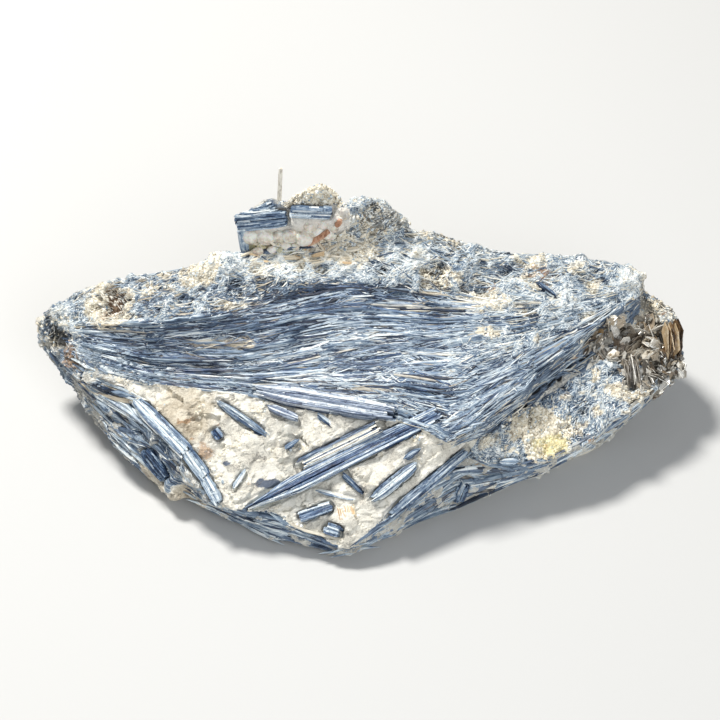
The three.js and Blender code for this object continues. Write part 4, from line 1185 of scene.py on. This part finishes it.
def blockLumps():
    rng = np.random.default_rng(431)
    made = bmesh.new()
    for k, (lumpX, lumpZ, size) in enumerate(blockLook["lumps"]):
        place, facing, _, _ = rockTree.ray_cast(Vector((lumpX, -20, lumpZ)) * mm, Vector((0, 1, 0)))
        ball = bmesh.ops.create_icosphere(made, subdivisions=3, radius=1)
        squash = np.array([rng.uniform(0.9, 1.15), rng.uniform(0.6, 0.8), rng.uniform(0.8, 1.0)]) * size
        for vertex in ball["verts"]:
            way = np.array(vertex.co)
            uneven = 1 + 0.1 * float(cloud((way * 1.5 + k * 7)[None], 1, 9, 2)[0])
            vertex.co = place + Vector((0, 0.12 * size * mm, 0)) + Vector(way * squash * uneven * mm)
    mesh = bpy.data.meshes.new("blockLumps")
    made.to_mesh(mesh)
    made.free()
    mesh.polygons.foreach_set("use_smooth", [True] * len(mesh.polygons))
    return addObject("blockLumps", mesh)


def lumpMaterial():
    r = Recipe("milky quartz")
    cloudy = r.grain(r.place(), 3.5, 3, 0.55, 0.4)
    r.feed("Subsurface Weight", 0.15)
    r.feed("Subsurface Scale", 0.002)
    return r.finish(r.ramp(cloudy, "milky"), cloudy * 0.3 + 0.3, r.grain(r.place(), 1.0, 4, 0.7), 0.7)


lumps = blockLumps()
lumps.data.materials.append(lumpMaterial())
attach(lumps, "root")
print("block lumps:", len(lumps.data.polygons), "faces")


def laidBlades(name, starts, ends, widths, thick, rng, material, extra):
    # short straight blades from one place to another, laid on the rock
    (starts, before), (ends, after) = onRock(starts), onRock(ends)
    # those whose ends lie far apart would stand off the rock as straws
    reach = np.maximum(1, np.linalg.norm(ends - starts, axis=1) / 4.5)[:, None]
    ends = starts + (ends - starts) / reach
    lines = np.stack([starts, ends], 1)
    facings = np.repeat(unit(before + after)[:, None], 2, 1)
    count = len(starts)
    wide = np.repeat(widths[:, None], 2, 1)
    return bladeMesh(name, lines, facings, wide, wide * thick,
                     rng.normal(0, 0.2, count), widths[:, None] * rng.uniform(0.3, 1.5, (count, 2)),
                     material, extra)


def stainMaterial():
    r = Recipe("stained blades")
    streak = r.grain(r.stretch(r.attribute("grain", "Vector"), 0.1, 1, 1), 0.4, 3)
    level = r.attribute("tone") + (streak - 0.5) * 0.5
    colour = r.mix(r.attribute("stain"), r.ramp(level, "cream"), r.ramp(level, "stain"))
    return r.finish(colour, streak * 0.3 + 0.4, streak, 0.2)


stained = stainMaterial()
rng = np.random.default_rng(441)
# fine orange and cream streaks side by side near the lower point, then flakes along the foot of the block
count, streakCount, rustyCount = (blockLook[key] for key in ("flakes", "streaks", "rustyBlades"))
across = np.linspace(-3.4, 3.4, streakCount)
streakStarts = np.column_stack([-6 + across, -67 + across * 0.25, 20.5 + across * 0.1])
streakEnds = streakStarts + np.array([1.6, -5.2, -3.6]) * rng.uniform(0.6, 1.1, (streakCount, 1))
flakeStarts = np.column_stack([rng.uniform(-47, 0, count), rng.uniform(16, 24, count),
                               rng.uniform(73, 80, count)])
flakeEnds = flakeStarts + np.column_stack([rng.uniform(1.5, 5, count) * rng.choice([-1, 1], count),
                                           rng.normal(0, 0.6, count), rng.normal(0.6, 1.2, count)])
rustLine = np.linspace(0, 1, rustyCount)[:, None] * np.array([27, 11, 8])
rustStarts = np.array([30, -52, 17]) + rustLine + rng.normal(0, 0.5, (rustyCount, 3))
rustEnds = rustStarts + np.array([3.4, 1.4, 1.0]) * rng.uniform(0.6, 1.4, (rustyCount, 1))
starts = np.concatenate([streakStarts, flakeStarts, rustStarts])
ends = np.concatenate([streakEnds, flakeEnds, rustEnds])
wide = np.concatenate([np.full(streakCount, 0.42), rng.uniform(0.5, 1.3, count),
                       rng.uniform(0.4, 0.9, rustyCount)])
stain = np.concatenate([np.tile([0.9, 0.0, 0.6], streakCount // 3),
                        np.where(rng.random(count) < 0.14, 0.8, 0.05), rng.uniform(0.3, 0.9, rustyCount)])
streaks = laidBlades("stainedBlades", starts, ends, wide, 0.5, rng, stained,
                     {"tone": rng.uniform(0.5, 0.95, len(starts)), "stain": stain})
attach(streaks, "root")
print("stained blades:", len(starts))


# mica
def micaMaterial():
    r = Recipe("mica")
    edge = r.grain(r.stretch(r.place(), 0.5, 0.5, 0.5), 0.8, 3, 0.6)
    tone = r.attribute("tone") + (edge - 0.5) * 0.5
    colour = r.mix(r.attribute("gold"), r.ramp(tone, "silver"), r.ramp(tone, "gold"))
    r.feed("Metallic", tone.step(0.3, 1.0) * 0.35)
    r.feed("IOR", 1.6)
    return r.finish(colour, edge * 0.25 + 0.14, edge, 0.12)


def plates(name, centres, facings, aheads, lengths, widths, thicknesses, material, extra, seed):
    # thin uneven plates with six corners
    rng = np.random.default_rng(seed)
    count = len(centres)
    aheads = unit(aheads - facings * (aheads * facings).sum(1, keepdims=True))
    beside = np.cross(facings, aheads)
    centres = np.clip(centres, boxLow + 2, boxHigh - 2)
    turn = np.arange(6) / 6 * 2 * np.pi
    reach = rng.uniform(0.75, 1.1, (count, 6))
    bend = rng.normal(0, 0.04, (count, 6))
    ahead = (np.cos(turn) * reach * lengths[:, None] / 2)[..., None] * aheads[:, None]
    side = (np.sin(turn) * reach * widths[:, None] / 2)[..., None] * beside[:, None]
    rim = centres[:, None] + ahead + side + facings[:, None] * (bend * lengths[:, None])[..., None]
    half = (facings * thicknesses[:, None] / 2)[:, None]
    points = np.concatenate([rim + half, rim - half], 1)
    caps = [(0, k, k + 1) for k in range(1, 5)] + [(6, k + 7, k + 6) for k in range(1, 5)]
    walls = [(k, k + 6, (k + 1) % 6 + 6, (k + 1) % 6) for k in range(6)]
    piece = meshOf(name, points.reshape(-1, 3), alike(caps, count, 12) + alike(walls, count, 12), material)
    writeExtra(piece, extra, 12)
    return piece


micaLook = {"flakes": 620, "sizes": (1.8, 9), "layers": 14, "sheets": 26}
mica = micaMaterial()


def micaBook(name, plane, gold, seed):
    # a stack of thin sheets on edge that fills the book's CAD solid
    rng = np.random.default_rng(seed)
    middle, along, across, out, (length, width, height) = crystalPlace(name, plane)
    count = micaLook["layers"]
    levels = (np.arange(count) + 0.5) / count - 0.5
    centres = middle + across * (levels * width)[:, None]
    centres = centres + along * rng.normal(0, 0.05 * length, count)[:, None]
    centres = centres + out * rng.normal(0, 0.05 * height, count)[:, None]
    ones = np.ones(count)
    facings = unit(across + rng.normal(0, 0.05, (count, 3)))
    return plates(name + "_piece", centres, facings, np.tile(along, (count, 1)), ones * length * 1.1,
                  ones * height * 1.1, ones * width / count * rng.uniform(0.5, 0.95, count), mica,
                  {"tone": rng.choice([0.08, 0.3, 0.5, 0.9], count) * (1.05 - 0.3 * gold),
                   "gold": ones * gold}, seed)


def micaFan(name, seed):
    # sheets that spread from one root
    rng = np.random.default_rng(seed)
    points = pointsOf(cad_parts[name].data)
    root = np.array([121.25, 6.07, 37.5])
    away = points - root
    main = unit(away.mean(0))
    side = np.linalg.svd(away - away.mean(0), full_matrices=False)[2][0]
    side = unit(side - main * side.dot(main))
    normal = np.cross(main, side)
    count = micaLook["sheets"]
    angles = rng.uniform(-0.75, 0.75, count)
    ways = main * np.cos(angles)[:, None] + side * np.sin(angles)[:, None]
    ways = ways + normal * rng.normal(0, 0.12, count)[:, None]
    lengths = rng.uniform(6, 12.5, count)
    facings = side * np.cos(angles)[:, None] - main * np.sin(angles)[:, None]
    facings = unit(facings + normal * rng.normal(0, 0.5, count)[:, None])
    return plates(name + "_piece", root + unit(ways) * (lengths / 2)[:, None], facings, ways, lengths,
                  rng.uniform(3, 6, count), rng.uniform(0.2, 0.6, count), mica,
                  {"tone": rng.choice([0.4, 0.7, 0.9, 1.0], count), "gold": rng.uniform(0, 0.5, count)},
                  seed)


micaPieces = {"mica_book_gold": micaBook("mica_book_gold", "micaGold", 0.9, 501),
              "mica_book_silver": micaBook("mica_book_silver", "micaSilver", 0.15, 502),
              "mica_fan": micaFan("mica_fan", 503)}
for name, piece in micaPieces.items():
    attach(piece, "root")
    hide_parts(name)
print("mica books and fan:", len(micaPieces))

rng = np.random.default_rng(511)
spot, facing = scatter(micaLook["flakes"], rockZone["mica"] * low, rng)
count = len(spot)
lean = unit(facing + rng.normal(0, 0.32, (count, 3)) + np.column_stack(
    [cloud(spot, 8, 61 + k, 1) for k in range(3)]) * 1.3)
lengths = spread(*micaLook["sizes"], rng.random(count))
lengths *= 1 - 0.45 * smooth(122, 131, spot[:, 0])
# the flakes in the mica hollow are made darker: painted shade in that recess
micaFlakes = plates("micaFlakes", spot + facing * 0.2, lean, unit(rng.normal(size=(count, 3))), lengths,
                    lengths * rng.uniform(0.5, 0.9, count), rng.uniform(0.15, 0.5, count), mica,
                    {"tone": np.clip(rng.normal(0.62, 0.26, count)
                                     - 0.12 * spotAt(spot, "micaHollow"), 0.05, 1),
                     "gold": np.clip(rng.normal(0.15, 0.25, count), 0, 1)}, 512)
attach(micaFlakes, "root")
print("mica flakes:", count)


# rusty flakes and the splinter keep their CAD shape
def plainMaterial(name, shade, size, rough):
    r = Recipe(name)
    grain = r.grain(r.stretch(r.place(), 1, 1, 0.3), size, 3, 0.6, 0.5)
    return r.finish(r.ramp(grain, shade), grain * 0.3 + rough, grain, 0.3)


rusty = plainMaterial("rusty flake", "rustyFlake", 1.2, 0.5)
splinter = plainMaterial("splinter", "splinter", 1.0, 0.6)
for name, look in {"rusty_flake_large": rusty, "rusty_flake_small": rusty, "splinter": splinter}.items():
    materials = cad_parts[name].data.materials
    materials.clear()
    materials.append(look)

# floor, light and camera
bpy.ops.mesh.primitive_plane_add(size=8, location=(0, 0, 0))
floor = bpy.context.active_object
floor.name = "floor"
floorRecipe = Recipe("pale floor")
floorRecipe.feed("Base Color", tint(196, 196, 194))
floorRecipe.feed("Roughness", 0.8)
floor.data.materials.append(floorRecipe.material)
floor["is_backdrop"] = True

lightLook = {"key": 32, "fill": 13, "sky": 0.27}


def areaLight(name, place, size, power, colour):
    light = bpy.data.lights.new(name, "AREA")
    light.shape, light.size, light.energy, light.color = "DISK", size, power, colour
    lamp = addObject(name, light)
    lamp.location = place
    lamp.rotation_euler = (Vector((0, 0, 0.04)) - Vector(place)).to_track_quat("-Z", "Y").to_euler()


areaLight("key", (-0.55, 0.45, 1.35), 0.35, lightLook["key"], (1.0, 0.98, 0.95))
areaLight("fill", (0.5, -1.2, 0.9), 1.2, lightLook["fill"], (0.93, 0.96, 1.0))
world = bpy.data.worlds.new("studio")
world.use_nodes = True
sky = world.node_tree.nodes["Background"].inputs
sky["Color"].default_value, sky["Strength"].default_value = (0.88, 0.91, 0.95, 1), lightLook["sky"]
bpy.context.scene.world = world
bpy.context.scene.view_settings.view_transform = "Standard"
bpy.context.scene.view_settings.look = "None"

cameraLook = {"distance": 900, "elevation": 45, "lens": 112.5, "target": (-0.25, -13.43, 48)}
camera = addObject("camera", bpy.data.cameras.new("camera"))
camera.data.lens, camera.data.sensor_width = cameraLook["lens"], 36
camera.data.clip_start, camera.data.clip_end = 0.05, 20
target = Vector(cameraLook["target"]) * mm
back = math.radians(cameraLook["elevation"])
camera.location = target + Vector((0, -math.cos(back), math.sin(back))) * cameraLook["distance"] * mm
camera.rotation_euler = (target - camera.location).to_track_quat("-Z", "Y").to_euler()
bpy.context.scene.camera = camera

sizes = {"cad": [list(map(float, corner)) for corner in cadBox],
         "visual": [list(map(float, corner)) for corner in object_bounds()]}
